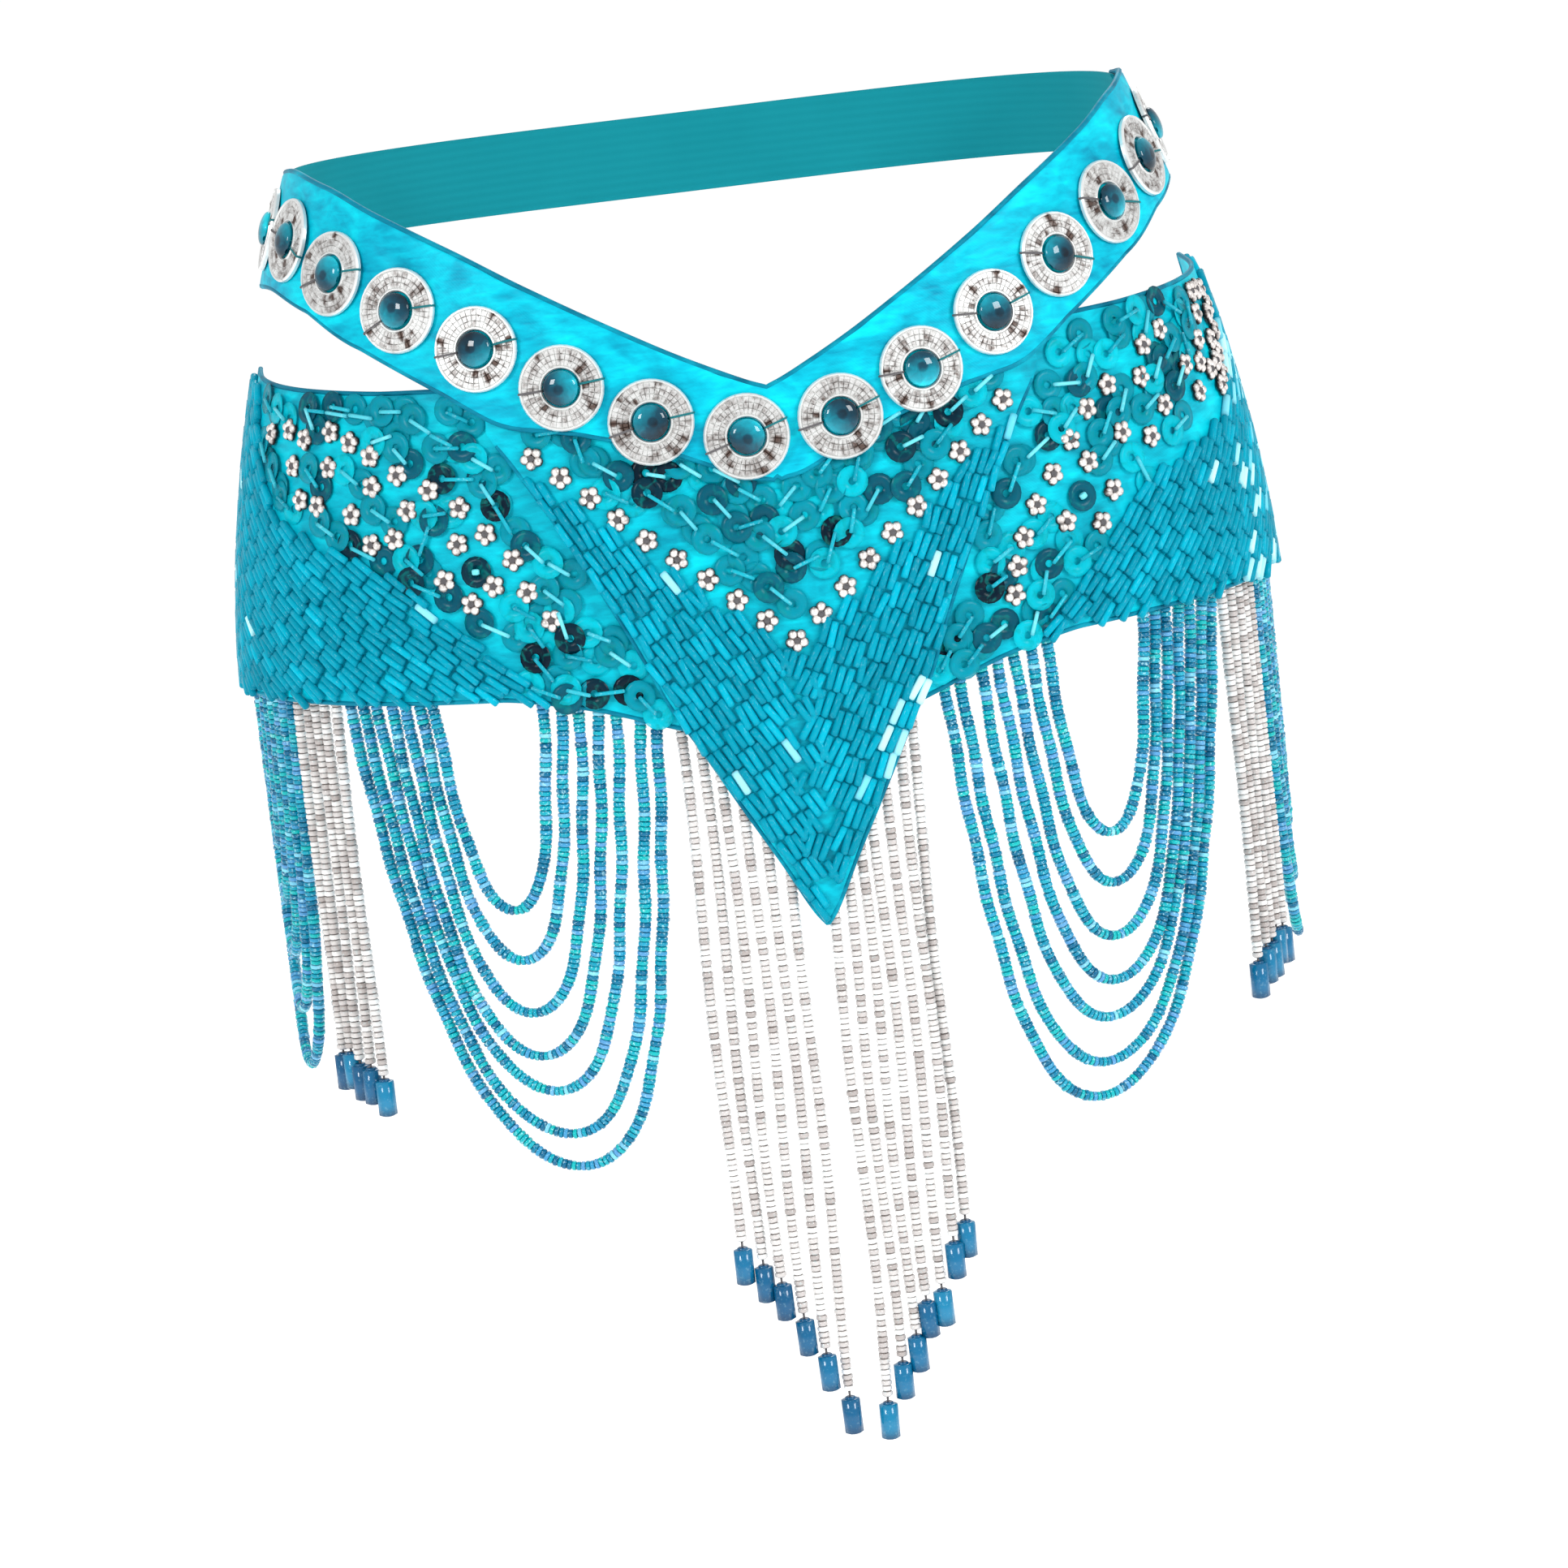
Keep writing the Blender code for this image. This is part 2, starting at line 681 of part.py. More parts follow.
def main():
    for old in list(bpy.data.objects):
        bpy.data.objects.remove(old)
    satin = make_material("turquoise_satin", (0.0, 0.56, 0.70), 0.30)
    elastic = make_material("teal_elastic", (0.010, 0.30, 0.36), 0.75)
    beadwork = make_material("turquoise_beadwork", (0.0, 0.36, 0.46), 0.25)
    blue_beads = make_material("blue_bead_strands", (0.02, 0.28, 0.42), 0.30)
    silver_beads = make_material("silver_bead_strands", (0.74, 0.73, 0.72), 0.25, 0.9)
    silver = make_material("silver_coins", (0.80, 0.78, 0.76), 0.30, 1.0)
    glass = make_material("turquoise_glass", (0.0, 0.30, 0.34), 0.08)

    make_front_band(satin)
    make_back_elastic(elastic)
    make_point_panel(beadwork)
    for name, side in (("left", -1), ("right", 1)):
        make_wing(f"wing_{name}", side, beadwork)
        make_swags(f"front_swags_{name}", side, FRONT_SWAGS, 16, blue_beads)
        make_side_fringe(f"side_fringe_{name}", side, silver_beads)
        make_swags(f"side_swags_{name}", side, SIDE_SWAGS, 12, blue_beads)
    make_centre_fringe(silver_beads)
    make_coins(silver, glass)


main()
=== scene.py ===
"""Belly dance hip belt, finished: satin band with stamped ring coins, beaded point and hip wings, swags of
seed beads and silver fringe. Metres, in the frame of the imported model."""

import math
from collections import namedtuple

import bpy
import numpy as np
from mathutils import Matrix, Vector


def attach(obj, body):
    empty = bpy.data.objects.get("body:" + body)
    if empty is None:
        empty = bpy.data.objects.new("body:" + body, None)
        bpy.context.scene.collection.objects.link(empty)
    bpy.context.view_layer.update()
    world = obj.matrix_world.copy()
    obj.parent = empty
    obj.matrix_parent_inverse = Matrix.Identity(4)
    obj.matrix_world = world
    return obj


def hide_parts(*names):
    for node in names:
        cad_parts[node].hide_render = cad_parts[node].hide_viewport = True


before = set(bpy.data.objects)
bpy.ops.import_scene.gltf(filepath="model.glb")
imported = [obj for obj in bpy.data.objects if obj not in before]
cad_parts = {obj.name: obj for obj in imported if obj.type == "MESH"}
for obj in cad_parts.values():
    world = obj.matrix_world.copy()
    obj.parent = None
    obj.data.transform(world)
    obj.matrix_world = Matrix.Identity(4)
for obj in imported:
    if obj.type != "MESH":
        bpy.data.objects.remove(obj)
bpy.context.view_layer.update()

MM = 0.001
BODY = "root"
ALONG_X = (0, math.pi / 2, 0)

# The hip form that the cloth lies on, as in the CAD
WAIST_HALF_WIDTH, HIP_HALF_WIDTH = 0.152, 0.1965
WAIST_FRONT_DEPTH, HIP_FRONT_DEPTH = 0.1095, 0.130
WAIST_BACK_DEPTH, HIP_BACK_DEPTH = 0.105, 0.126
HIP_DROP, FLARE_POWER = 0.200, 1.7
FRONT_SQUARENESS, BACK_SQUARENESS = 2.2, 2.6
ARC_LEVEL, ARC_STEPS = -0.060, 720

# How far out of the form each layer starts, and its wall
WING_OUT, PANEL_WALL = 0.0, 0.0018
POINT_OUT = 0.0023
BAND_OUT, BAND_WALL = 0.0046, 0.0020
BAND_FACE = BAND_OUT + BAND_WALL
ELASTIC_OUT, ELASTIC_WALL = 0.0027, 0.0015
SEAM_GAP, HANG_GAP = 0.0003, 0.0007

# How far each dressed wall stays inside its solid, and how its edges are rolled and piped
PANEL_INSET, ELASTIC_INSET, PIPING_INSET, EDGE_ROLL = 0.00025, 0.0001, 0.0004, 0.0022
ROLL_DEPTH, LUMP_DEPTH = 0.0004, 0.00022
BAND_PIPING_RADIUS, PANEL_PIPING_RADIUS = 0.00105, 0.00095
RIB_DEPTH, RIB_PITCH = 0.00003, 0.0032

BAND_HALF_ARC = 0.250
ELASTIC_HEIGHT, ELASTIC_TOP, ELASTIC_BACK_DIP, ELASTIC_TUCK = 0.032, -0.003, 0.004, 0.014
PANEL_TUCK, POINT_HALF_ARC = 0.013, 0.097
WING_END_TOP_ARC, WING_END_HEM_ARC = 0.248, 0.285
WING_TOP_NEAR, WING_TOP_FAR, WING_TOP_NEAR_ARC = -0.0785, -0.0755, 0.140
WING_UNDER_POINT, WING_UNDER_BAND = 0.0018, 0.015

COIN_COUNT, COIN_PITCH, COIN_ROW_SHIFT = 15, 0.0347, -0.0085
COIN_RADIUS, COIN_HOLE_RADIUS, COIN_THICKNESS = 0.0157, 0.0070, 0.0019
COIN_MIDDLE = (COIN_RADIUS + COIN_HOLE_RADIUS) / 2
COIN_BEAD_RADIUS, COIN_BEAD_HEIGHT, COIN_BEAD_SEAT = 0.0064, 0.0048, 0.0018
STITCH_APART, STITCH_RADIUS = 0.00019, 0.00021

BLUE_STRAND_RADIUS, SILVER_STRAND_RADIUS = 0.0020, 0.0018
DROP_RADIUS, DROP_LENGTH, BARE_THREAD = 0.0036, 0.0125, 0.0020
STRAND_SWAY, SWAY_RATE, SWAY_SPREAD = 0.0006, 40.0, 900.0
STRIP_WALL, STRIP_HEIGHT, STRIP_ABOVE_HEM, STRAND_ROOT, STRIP_END = 0.0014, 0.0065, 0.0008, 0.0045, 0.0020
CENTRE_STRIP_HEIGHT, STEP_BACK_FROM, STEP_BACK_TO = 0.0080, 0.0305, 0.0360



def in_mm(kind, *rows):
    """A table's rows, given in millimetres."""
    return [kind(*(v if isinstance(v, str) else v / 1000 for v in row)) for row in rows]


EdgeRow = namedtuple("EdgeRow", "arc height")
WidthRow = namedtuple("WidthRow", "arc width")
DropRow = namedtuple("DropRow", "arc drop")
SwagRow = namedtuple("SwagRow", "near_arc far_arc low_arc lowest")
TipRow = namedtuple("TipRow", "arc tip")
Crease = namedtuple("Crease", "arc height length width depth slant")
Stud = namedtuple("Stud", "arc height")
Pair = namedtuple("Pair", "arc height other_arc other_height shade other_shade")

BAND_TOP = in_mm(
    EdgeRow,
    (0, -88), (5, -86), (15, -81), (30, -73), (50, -61.5), (80, -44.5), (110, -28.5), (145, -14),
    (175, -4.5), (211, 0), (250, -3),
)
BAND_WIDTH = in_mm(
    WidthRow,
    (0, 32), (30, 32), (60, 37.5), (95, 47), (150, 45), (205, 42.5), (250, 42),
)
COIN_ROW = in_mm(
    DropRow,
    (0, 17.5), (25, 25.5), (50, 29), (90, 29.5), (137, 28), (167, 26.5), (200, 22.5), (240, 21),
)
POINT_EDGE = in_mm(
    EdgeRow,
    (0, -287), (3, -282.5), (12, -263), (23, -240.5), (34, -217.5), (43, -199.5), (50, -181), (60, -158.5),
    (72, -134.5), (85, -112.5), (97, -95),
)
WING_HEM = in_mm(
    EdgeRow,
    (36, -210.5), (47, -206.3), (58, -202), (70, -198), (80, -195.5), (100, -192.5), (170, -192),
    (285, -194.5),
)
FRONT_SWAGS = in_mm(
    SwagRow,
    (87, 126.3, 105.2, -271.5), (80.9, 131.2, 105, -290.5), (74.7, 136.5, 103.7, -310.5),
    (68.7, 142.2, 102.5, -327), (62.5, 148, 99.3, -340.5), (54.9, 154, 96.3, -357),
    (49.3, 159.7, 94, -369.5),
)
SIDE_SWAGS = in_mm(
    SwagRow,
    (216, 238, 230, -234), (210.8, 245.4, 229, -255), (205.6, 252.8, 226.5, -276),
    (200.4, 260.2, 224, -297), (195.2, 267.6, 221, -318), (190, 275, 218, -339),
)
CENTRE_FRINGE = in_mm(
    TipRow,
    (-42, -419), (-35.5, -426.5), (-29.2, -433.5), (-22.8, -448), (-16.4, -462.5), (-10, -480), (2.5, -484),
    (8.3, -469.5), (13.8, -460), (19.2, -447.5), (25.2, -444), (31.3, -426.8), (36.2, -420),
)
SIDE_FRINGE = in_mm(
    TipRow,
    (165.2, -350), (170.2, -346), (175.2, -345), (180.2, -341), (185.2, -342),
)

# Creases of the band: soft troughs, at a height below its top edge
BAND_CREASES = [
    Crease(*(size / 1000 for size in row[:5]), row[5])
    for row in (
        (-238, 20, 30, 3, 0.6, 1.3), (-214, 26, 26, 4, 0.5, -1.1), (-187, 16, 34, 3.5, 0.7, 0.9),
        (-158, 30, 24, 3, 0.6, -0.7), (-131, 12, 40, 4, 0.8, 0.45), (-106, 34, 30, 3.5, 0.6, 1.1),
        (-82, 11, 36, 4.5, 0.8, 0.75), (-58, 30, 22, 3, 0.5, -0.95), (-36, 10, 30, 3.5, 0.7, 0.6),
        (-14, 7, 20, 3, 0.6, 1.25), (6, 22, 20, 2.8, 0.6, 1.45), (28, 9, 28, 3.6, 0.7, -0.65),
        (52, 28, 24, 3.2, 0.6, 0.85), (74, 12, 38, 4.2, 0.8, -0.8), (99, 33, 28, 3.4, 0.6, -1.2),
        (124, 14, 36, 4, 0.8, -0.5), (150, 31, 26, 3, 0.5, 0.9), (181, 15, 32, 3.8, 0.7, -1.05),
        (209, 27, 26, 3.4, 0.6, 1.2), (235, 18, 30, 3.2, 0.6, -1.35),
    )
]

# Line of flower studs on the point, and the line on a wing above which there are ring sequins
STUD_LINE = in_mm(
    EdgeRow,
    (0, -180.5), (13, -168), (30, -151), (48, -135), (65, -118), (88, -99),
)
WING_BEAD_LINE = in_mm(
    EdgeRow,
    (60, -206), (75, -197), (90, -181), (110, -164), (130, -144), (155, -133), (185, -123), (203, -100),
    (214, -70),
)
LEFT_STUDS = in_mm(
    Stud,
    (-196, -94), (-183, -92), (-173, -95), (-160, -92), (-151, -96), (-179, -105), (-160, -105),
    (-142, -101), (-141, -112), (-131, -108), (-174, -117), (-165, -119), (-149, -122), (-127, -121),
    (-119, -114), (-108, -121), (-132, -131), (-141, -133), (-109, -134), (-99, -131), (-114, -147),
    (-90, -141), (-97, -150), (-105, -156), (-86, -153), (-79, -164),
)
RIGHT_STUDS = in_mm(
    Stud,
    (155, -92), (144, -96), (124, -107), (113, -114), (104, -124), (95, -135), (87, -145), (81, -156),
    (77, -166), (75, -176), (139, -107), (147, -119), (137, -129), (125, -125), (109, -133), (117, -145),
    (110, -156), (97, -153), (192, -83), (197, -93), (184, -91), (190, -102), (178, -100), (181, -112),
    (168, -118), (164, -107), (174, -108), (186, -83), (200, -84), (203, -91), (200, -100), (195, -108),
    (188, -110), (193, -116), (187, -119),
)

# Pairs of ring sequins, each pair held by one bugle bead from hole to hole
LEFT_PAIRS = in_mm(
    Pair,
    (-173, -84, -140, -87, "sea", "sea"), (-125, -88, -109, -99, "sea", "aqua"),
    (-106, -99, -116, -99, "deep", "sea"), (-114, -110, -100, -111, "ink", "deep"),
    (-95, -121, -89, -131, "ink", "sea"), (-131, -98, -126, -104, "sea", "deep"),
    (-150, -133, -137, -139, "ink", "deep"), (-117, -125, -123, -139, "deep", "deep"),
    (-126, -147, -113, -153, "ink", "deep"), (-103, -163, -91, -169, "deep", "sea"),
    (-85, -177, -79, -186, "ink", "sea"), (-73, -171, -76, -161, "ink", "aqua"),
    (-103, -144, -103, -145, "ink", "ink"), (-67, -192, -56, -192, "ink", "ink"),
    (-76, -193, -88, -187, "deep", "aqua"), (-160, -83, -150, -84, "deep", "sea"),
)
RIGHT_PAIRS = in_mm(
    Pair,
    (107, -92, 118, -87, "aqua", "sea"), (126, -96, 135, -90, "aqua", "sea"),
    (145, -83, 134, -85, "aqua", "sea"), (172, -89, 159, -82, "aqua", "deep"),
    (112, -104, 100, -103, "deep", "sea"), (90, -111, 100, -113, "aqua", "sea"),
    (96, -121, 85, -128, "ink", "sea"), (77, -139, 83, -128, "deep", "sea"),
    (104, -144, 105, -146, "deep", "deep"), (127, -135, 132, -145, "aqua", "aqua"),
    (88, -167, 97, -160, "deep", "aqua"), (66, -172, 72, -168, "ink", "deep"),
    (85, -187, 92, -179, "deep", "sea"), (63, -190, 70, -186, "deep", "deep"),
    (98, -168, 107, -164, "aqua", "sea"), (46, -199, 50, -192, "aqua", "ink"),
    (68, -153, 71, -143, "sea", "sea"), (160, -96, 152, -103, "sea", "deep"),
)
CENTRE_PAIRS = in_mm(
    Pair,
    (-36, -116, -43, -114, "ink", "ink"), (-43, -121, -34, -129, "ink", "sea"),
    (-22, -126, -16, -133, "deep", "sea"), (-52, -114, -60, -108, "deep", "sea"),
    (-25, -140, -14, -148, "sea", "sea"), (-8, -141, 1, -149, "sea", "ink"),
    (1, -154, 11, -151, "deep", "sea"), (17, -143, 12, -154, "ink", "aqua"),
    (-7, -160, 0, -167, "deep", "sea"), (33, -130, 27, -137, "deep", "sea"),
    (17, -127, 12, -135, "sea", "aqua"), (42, -116, 50, -113, "ink", "deep"),
    (6, -125, -1, -131, "sea", "aqua"), (-12, -121, -21, -115, "deep", "sea"),
    (60, -106, 67, -101, "ink", "sea"),
)


# The form and the outlines of the cloth pieces on it


def through_rows(rows, arcs):
    """Values at the arcs of a smooth curve through a table's rows, with no overshoot between them."""
    ends = np.array([row[0] for row in rows])
    values = np.array([row[1] for row in rows])
    steps = np.diff(ends)
    slopes = np.diff(values) / steps
    before, after = slopes[:-1], slopes[1:]
    same_way = before * after > 0
    joined = np.where(same_way, before + after, 1.0)
    inner = np.where(same_way, 2 * before * after / joined, 0.0)
    tangents = np.concatenate([slopes[:1], inner, slopes[-1:]])
    arcs = np.clip(np.asarray(arcs, float), ends[0], ends[-1])
    k = np.clip(np.searchsorted(ends, arcs, side="left") - 1, 0, len(steps) - 1)
    t = (arcs - ends[k]) / steps[k]
    return (
        values[k] * (2 * t**3 - 3 * t**2 + 1)
        + steps[k] * tangents[k] * (t**3 - 2 * t**2 + t)
        + values[k + 1] * (3 * t**2 - 2 * t**3)
        + steps[k] * tangents[k + 1] * (t**3 - t**2)
    )


def walk(points):
    """How far each point is along a path."""
    return np.concatenate([[0.0], np.cumsum(np.linalg.norm(np.diff(points, axis=0), axis=1))])


def hip_outline(turns, heights, outs):
    """Plan positions on the form at turns from the front middle, 'outs' beyond its surface."""
    drop = np.clip(-heights / HIP_DROP, 0.0, 1.0)
    flare = 1 - (1 - drop) ** FLARE_POWER
    half_width = WAIST_HALF_WIDTH + (HIP_HALF_WIDTH - WAIST_HALF_WIDTH) * flare + outs
    front = WAIST_FRONT_DEPTH + (HIP_FRONT_DEPTH - WAIST_FRONT_DEPTH) * flare + outs
    back = WAIST_BACK_DEPTH + (HIP_BACK_DEPTH - WAIST_BACK_DEPTH) * flare + outs
    in_front = np.cos(turns) >= 0
    depth = np.where(in_front, front, back)
    power = np.where(in_front, FRONT_SQUARENESS, BACK_SQUARENESS)
    across, along = np.abs(np.sin(turns) / half_width), np.abs(np.cos(turns) / depth)
    radius = (across**power + along**power) ** (-1 / power)
    return radius * np.sin(turns), -radius * np.cos(turns)


TURNS = np.linspace(0.0, math.pi, ARC_STEPS + 1)
LEVEL_RING = np.stack(hip_outline(TURNS, np.full(ARC_STEPS + 1, ARC_LEVEL), 0.0), axis=-1)
ARCS = walk(LEVEL_RING)
HALF_ROUND = float(ARCS[-1])


def turn_at(arcs):
    sizes = np.abs(arcs)
    past = sizes > HALF_ROUND
    turns = np.interp(np.where(past, 2 * HALF_ROUND - sizes, sizes), ARCS, TURNS)
    return np.copysign(np.where(past, 2 * math.pi - turns, turns), arcs)


def cloth_points(arcs, heights, outs):
    arcs, heights, outs = np.broadcast_arrays(*(np.asarray(v, float) for v in (arcs, heights, outs)))
    x, y = hip_outline(turn_at(arcs), heights, outs)
    return np.stack([x, y, heights], axis=-1)


def unit(vectors):
    return vectors / np.linalg.norm(vectors, axis=-1, keepdims=True)


def cloth_axes(arcs, heights, outs):
    """Unit directions on the cloth: along the arc, up the cloth, and out of it."""
    arcs, heights = np.asarray(arcs, float), np.asarray(heights, float)
    along = unit(cloth_points(arcs + MM, heights, outs) - cloth_points(arcs - MM, heights, outs))
    upward = unit(cloth_points(arcs, heights + MM, outs) - cloth_points(arcs, heights - MM, outs))
    outward = unit(np.cross(along, upward))
    return along, np.cross(outward, along), outward


def headed_axes(arcs, heights, outs, headings):
    """Frames of things sewn to the cloth: x along the heading, z out of the cloth."""
    along, upward, outward = cloth_axes(arcs, heights, outs)
    turn = np.asarray(headings, float)[..., None]
    ahead = along * np.cos(turn) + upward * np.sin(turn)
    return np.stack([ahead, np.cross(outward, ahead), outward], axis=-1)


def band_top(arcs):
    return through_rows(BAND_TOP, np.abs(arcs))


def band_foot(arcs):
    arcs = np.abs(np.asarray(arcs, float))
    slope = (band_top(arcs + MM) - band_top(np.maximum(arcs - MM, 0.0))) / (2 * MM)
    return band_top(arcs) - through_rows(BAND_WIDTH, arcs) * np.sqrt(1 + slope**2)


def point_edge(arcs):
    return through_rows(POINT_EDGE, np.abs(arcs))


EDGE_ARCS = np.linspace(0.0, POINT_HALF_ARC, 400)
EDGE_HEIGHTS = point_edge(EDGE_ARCS)


def point_edge_arc(heights):
    return np.interp(heights, EDGE_HEIGHTS, EDGE_ARCS)


def wing_hem(arcs):
    return through_rows(WING_HEM, np.abs(arcs))


def wing_top(arcs):
    arcs = np.abs(arcs)
    ease = np.clip((arcs - WING_TOP_NEAR_ARC) / (WING_END_TOP_ARC - WING_TOP_NEAR_ARC), 0.0, 1.0)
    level = WING_TOP_NEAR + (WING_TOP_FAR - WING_TOP_NEAR) * ease
    return np.minimum(level, band_foot(arcs) + PANEL_TUCK)


def wing_end_arc(heights):
    """Arc of a wing's free end at a height."""
    down = np.clip((WING_TOP_FAR - heights) / (WING_TOP_FAR - WING_HEM[-1].height), 0.0, 1.0)
    return WING_END_TOP_ARC + (WING_END_HEM_ARC - WING_END_TOP_ARC) * down


# Finishes


class Field:
    """A value on a socket, so that shader maths reads as sums."""

    def __init__(self, finish, socket):
        self.finish, self.socket = finish, socket

    def maths(self, operation, *values):
        return self.finish.node("ShaderNodeMath", {"operation": operation}, dict(enumerate(values)))

    def __add__(self, other):
        return self.maths("ADD", self, other)

    def __rsub__(self, other):
        return self.maths("SUBTRACT", other, self)

    def __mul__(self, other):
        return self.maths("MULTIPLY", self, other)

    def size(self):
        return self.maths("ABSOLUTE", self)

    def step(self, low, high):
        """0 below low, 1 above high, smooth between."""
        sockets = {"Value": self, "From Min": low, "From Max": high}
        return self.finish.node("ShaderNodeMapRange", {"interpolation_type": "SMOOTHSTEP"}, sockets)


class Finish:
    """A material with its shader, and one way to add any other node."""

    def __init__(self, name, **constants):
        self.material = bpy.data.materials.new(name)
        self.material.use_nodes = True
        self.tree = self.material.node_tree
        self.shader = self.tree.nodes["Principled BSDF"]
        for socket, value in constants.items():
            self.shader.inputs[socket.replace("_", " ")].default_value = value

    def node(self, kind, settings=None, sockets=None, out=0):
        node = self.tree.nodes.new(kind)
        for key, value in (settings or {}).items():
            if key == "stops":
                self.set_stops(node.color_ramp, value)
            else:
                setattr(node, key, value)
        for key, value in (sockets or {}).items():
            if isinstance(value, Field):
                self.tree.links.new(value.socket, node.inputs[key])
            else:
                node.inputs[key].default_value = value
        return Field(self, node.outputs[out])

    @staticmethod
    def set_stops(ramp, stops):
        while len(ramp.elements) < len(stops):
            ramp.elements.new(0.5)
        for element, (place, colour) in zip(ramp.elements, stops):
            element.position = place
            element.color = (*colour, 1.0)

    def ramp(self, value, stops):
        return self.node("ShaderNodeValToRGB", {"stops": stops}, {"Fac": value})

    def mix(self, share, first, second):
        return self.node("ShaderNodeMix", {"data_type": "RGBA"}, {0: share, 6: first, 7: second}, out=2)

    def attribute(self, name):
        return self.node("ShaderNodeAttribute", {"attribute_name": name}, out=2)

    def place(self):
        """Object coordinates."""
        return self.node("ShaderNodeTexCoord", out=3)

    def cut(self):
        """The cloth's own map, in metres along the arc and up the cloth."""
        return self.node("ShaderNodeUVMap", {"uv_map": "cut"})

    def scaled(self, vector, scale, turn=0.0):
        sockets = {"Vector": vector, "Scale": scale, "Rotation": (0.0, 0.0, turn)}
        return self.node("ShaderNodeMapping", None, sockets)

    def noise(self, vector, scale, detail=2.0, distortion=0.0):
        sockets = {"Vector": vector, "Scale": scale, "Detail": detail, "Distortion": distortion}
        return self.node("ShaderNodeTexNoise", None, sockets)

    def feed(self, **fields):
        for socket, field in fields.items():
            self.tree.links.new(field.socket, self.shader.inputs[socket.replace("_", " ")])
        return self

    def bump(self, height, strength, distance):
        sockets = {"Height": height, "Strength": strength, "Distance": distance}
        return self.feed(Normal=self.node("ShaderNodeBump", None, sockets))


def rgb(red, green, blue):
    """A shader colour from the 0 to 255 of a screen."""
    return tuple((v / 255) ** 2.2 for v in (red, green, blue))


def colour(red, green, blue):
    return (*rgb(red, green, blue), 1.0)


def shades(*rows):
    """The stops of a colour ramp, each given as its place, red, green and blue."""
    return [(place, rgb(*tone)) for place, *tone in rows]


def satin_finish(name, *tones):
    """Crumpled satin: light and dark patches on its crumples as painted highlights and painted shade, a fine
    twill and a soft sheen.
    """
    finish = Finish(name, Roughness=0.5, Specular_IOR_Level=0.09)
    cut = finish.cut()
    patches = finish.noise(finish.scaled(cut, (1.0, 1.6, 1.0), 0.5), 46.0, 4.0, 0.8)
    streaks = finish.noise(finish.scaled(cut, (1.0, 3.2, 1.0), -0.6), 120.0, 3.0, 0.4)
    twill = finish.node("ShaderNodeTexWave", {"bands_direction": "DIAGONAL"}, {"Vector": cut, "Scale": 520.0})
    wrinkle = patches * 0.65 + streaks * 0.35
    stops = [(place, rgb(*tone)) for place, tone in zip((0.33, 0.50, 0.67), tones)]
    # Painted light: the colour follows the crumples, its lighter and darker patches standing for their
    # highlights and shade.
    finish.feed(Base_Color=finish.ramp(wrinkle, stops), Roughness=wrinkle * 0.30 + 0.30)
    return finish.bump(wrinkle + twill * 0.02, 0.42, 0.0016)


def elastic_finish():
    """Flat matte elastic: close ribs along its length."""
    finish = Finish("teal elastic", Roughness=0.85, Specular_IOR_Level=0.15)
    cut = finish.cut()
    ribs = finish.node("ShaderNodeTexWave", {"bands_direction": "Y"}, {"Vector": cut, "Scale": 95.0})
    threads = finish.noise(finish.scaled(cut, (1.0, 6.0, 1.0)), 700.0)
    tone = finish.noise(cut, 26.0)
    weave = ribs * 0.5 + threads * 0.35
    finish.feed(Base_Color=finish.mix(tone * 0.5 + weave * 0.35, colour(14, 128, 138), colour(28, 148, 158)))
    return finish.bump(weave, 0.15, 0.0004)


def glass_finish(name, stops, end_shade_colour, shine=0.35, coat=0.25, ends_from=0.62, dim=0.85, glow=0.0, glint=0.2):
    """Glass beads: each has its own tint, with painted shade darkening the ends round the thread hole."""
    finish = Finish(name, Roughness=0.12, Coat_Weight=coat, Coat_Roughness=0.06, Specular_IOR_Level=shine)
    # Painted glow: the beads give off light of their own colour, for light that passes through the glass.
    finish.shader.inputs["Emission Strength"].default_value = glow
    # Painted shade: each bead darkens towards its ends, where it meets the next bead.
    ends = finish.attribute("along").size().step(ends_from, 1.0)
    swirl = finish.noise(finish.place(), 900.0, 1.0)
    base = finish.mix(ends * dim, finish.ramp(finish.attribute("tint"), stops), colour(*end_shade_colour))
    # Painted glints: pale spots of noise mixed into the colour, as strong as the glint share asks.
    bright = finish.mix(swirl.step(0.56, 0.76) * glint, base, colour(190, 242, 248))
    return finish.feed(Base_Color=bright, Emission_Color=bright, Roughness=ends * 0.25 + 0.12)


def round_bead_finish():
    """Clear teal glass with painted light: painted shade round one side and at the eye, painted light on the
    other side where light would come through, and a weak painted glow.
    """
    finish = Finish("round teal beads", Roughness=0.04, Specular_IOR_Level=0.4)
    # Painted glow, for light that passes through the glass.
    finish.shader.inputs["Emission Strength"].default_value = 0.12
    side, rise, tint = (finish.attribute(label) for label in ("side", "rise", "tint"))
    cloud = finish.noise(finish.place(), 320.0, 2.0, 0.6)
    aside, above = side + 0.10, rise + 0.08
    eye = (aside * aside + above * above).step(0.02, 0.13)
    # Painted light and shade: darker on one side and at the eye, lighter on the other side.
    depth = side * 0.30 + cloud * 0.28 + tint * 0.34 + eye * 0.18
    stops = shades(
        (0.12, 0, 26, 38), (0.38, 0, 64, 82), (0.58, 0, 112, 130), (0.74, 0, 148, 168), (0.92, 0, 212, 228)
    )
    base = finish.ramp(depth, stops)
    return finish.feed(Base_Color=base, Emission_Color=base)


def sequin_finish():
    """Thin film rings, from near black to clear aqua, a little see-through."""
    finish = Finish("sequin film", Roughness=0.25, Specular_IOR_Level=0.12)
    tint = finish.attribute("tint")
    stops = shades(
        (0, 0, 30, 44), (0.25, 0, 84, 104), (0.50, 0, 138, 158), (0.75, 0, 166, 190), (1, 0, 216, 234)
    )
    swirl = finish.noise(finish.place(), 210.0, 2.0, 1.2)
    base = finish.mix(swirl.step(0.50, 0.70) * 0.34, finish.ramp(tint, stops), colour(0, 146, 138))
    return finish.feed(Base_Color=base, Alpha=1.0 - tint * 0.40)


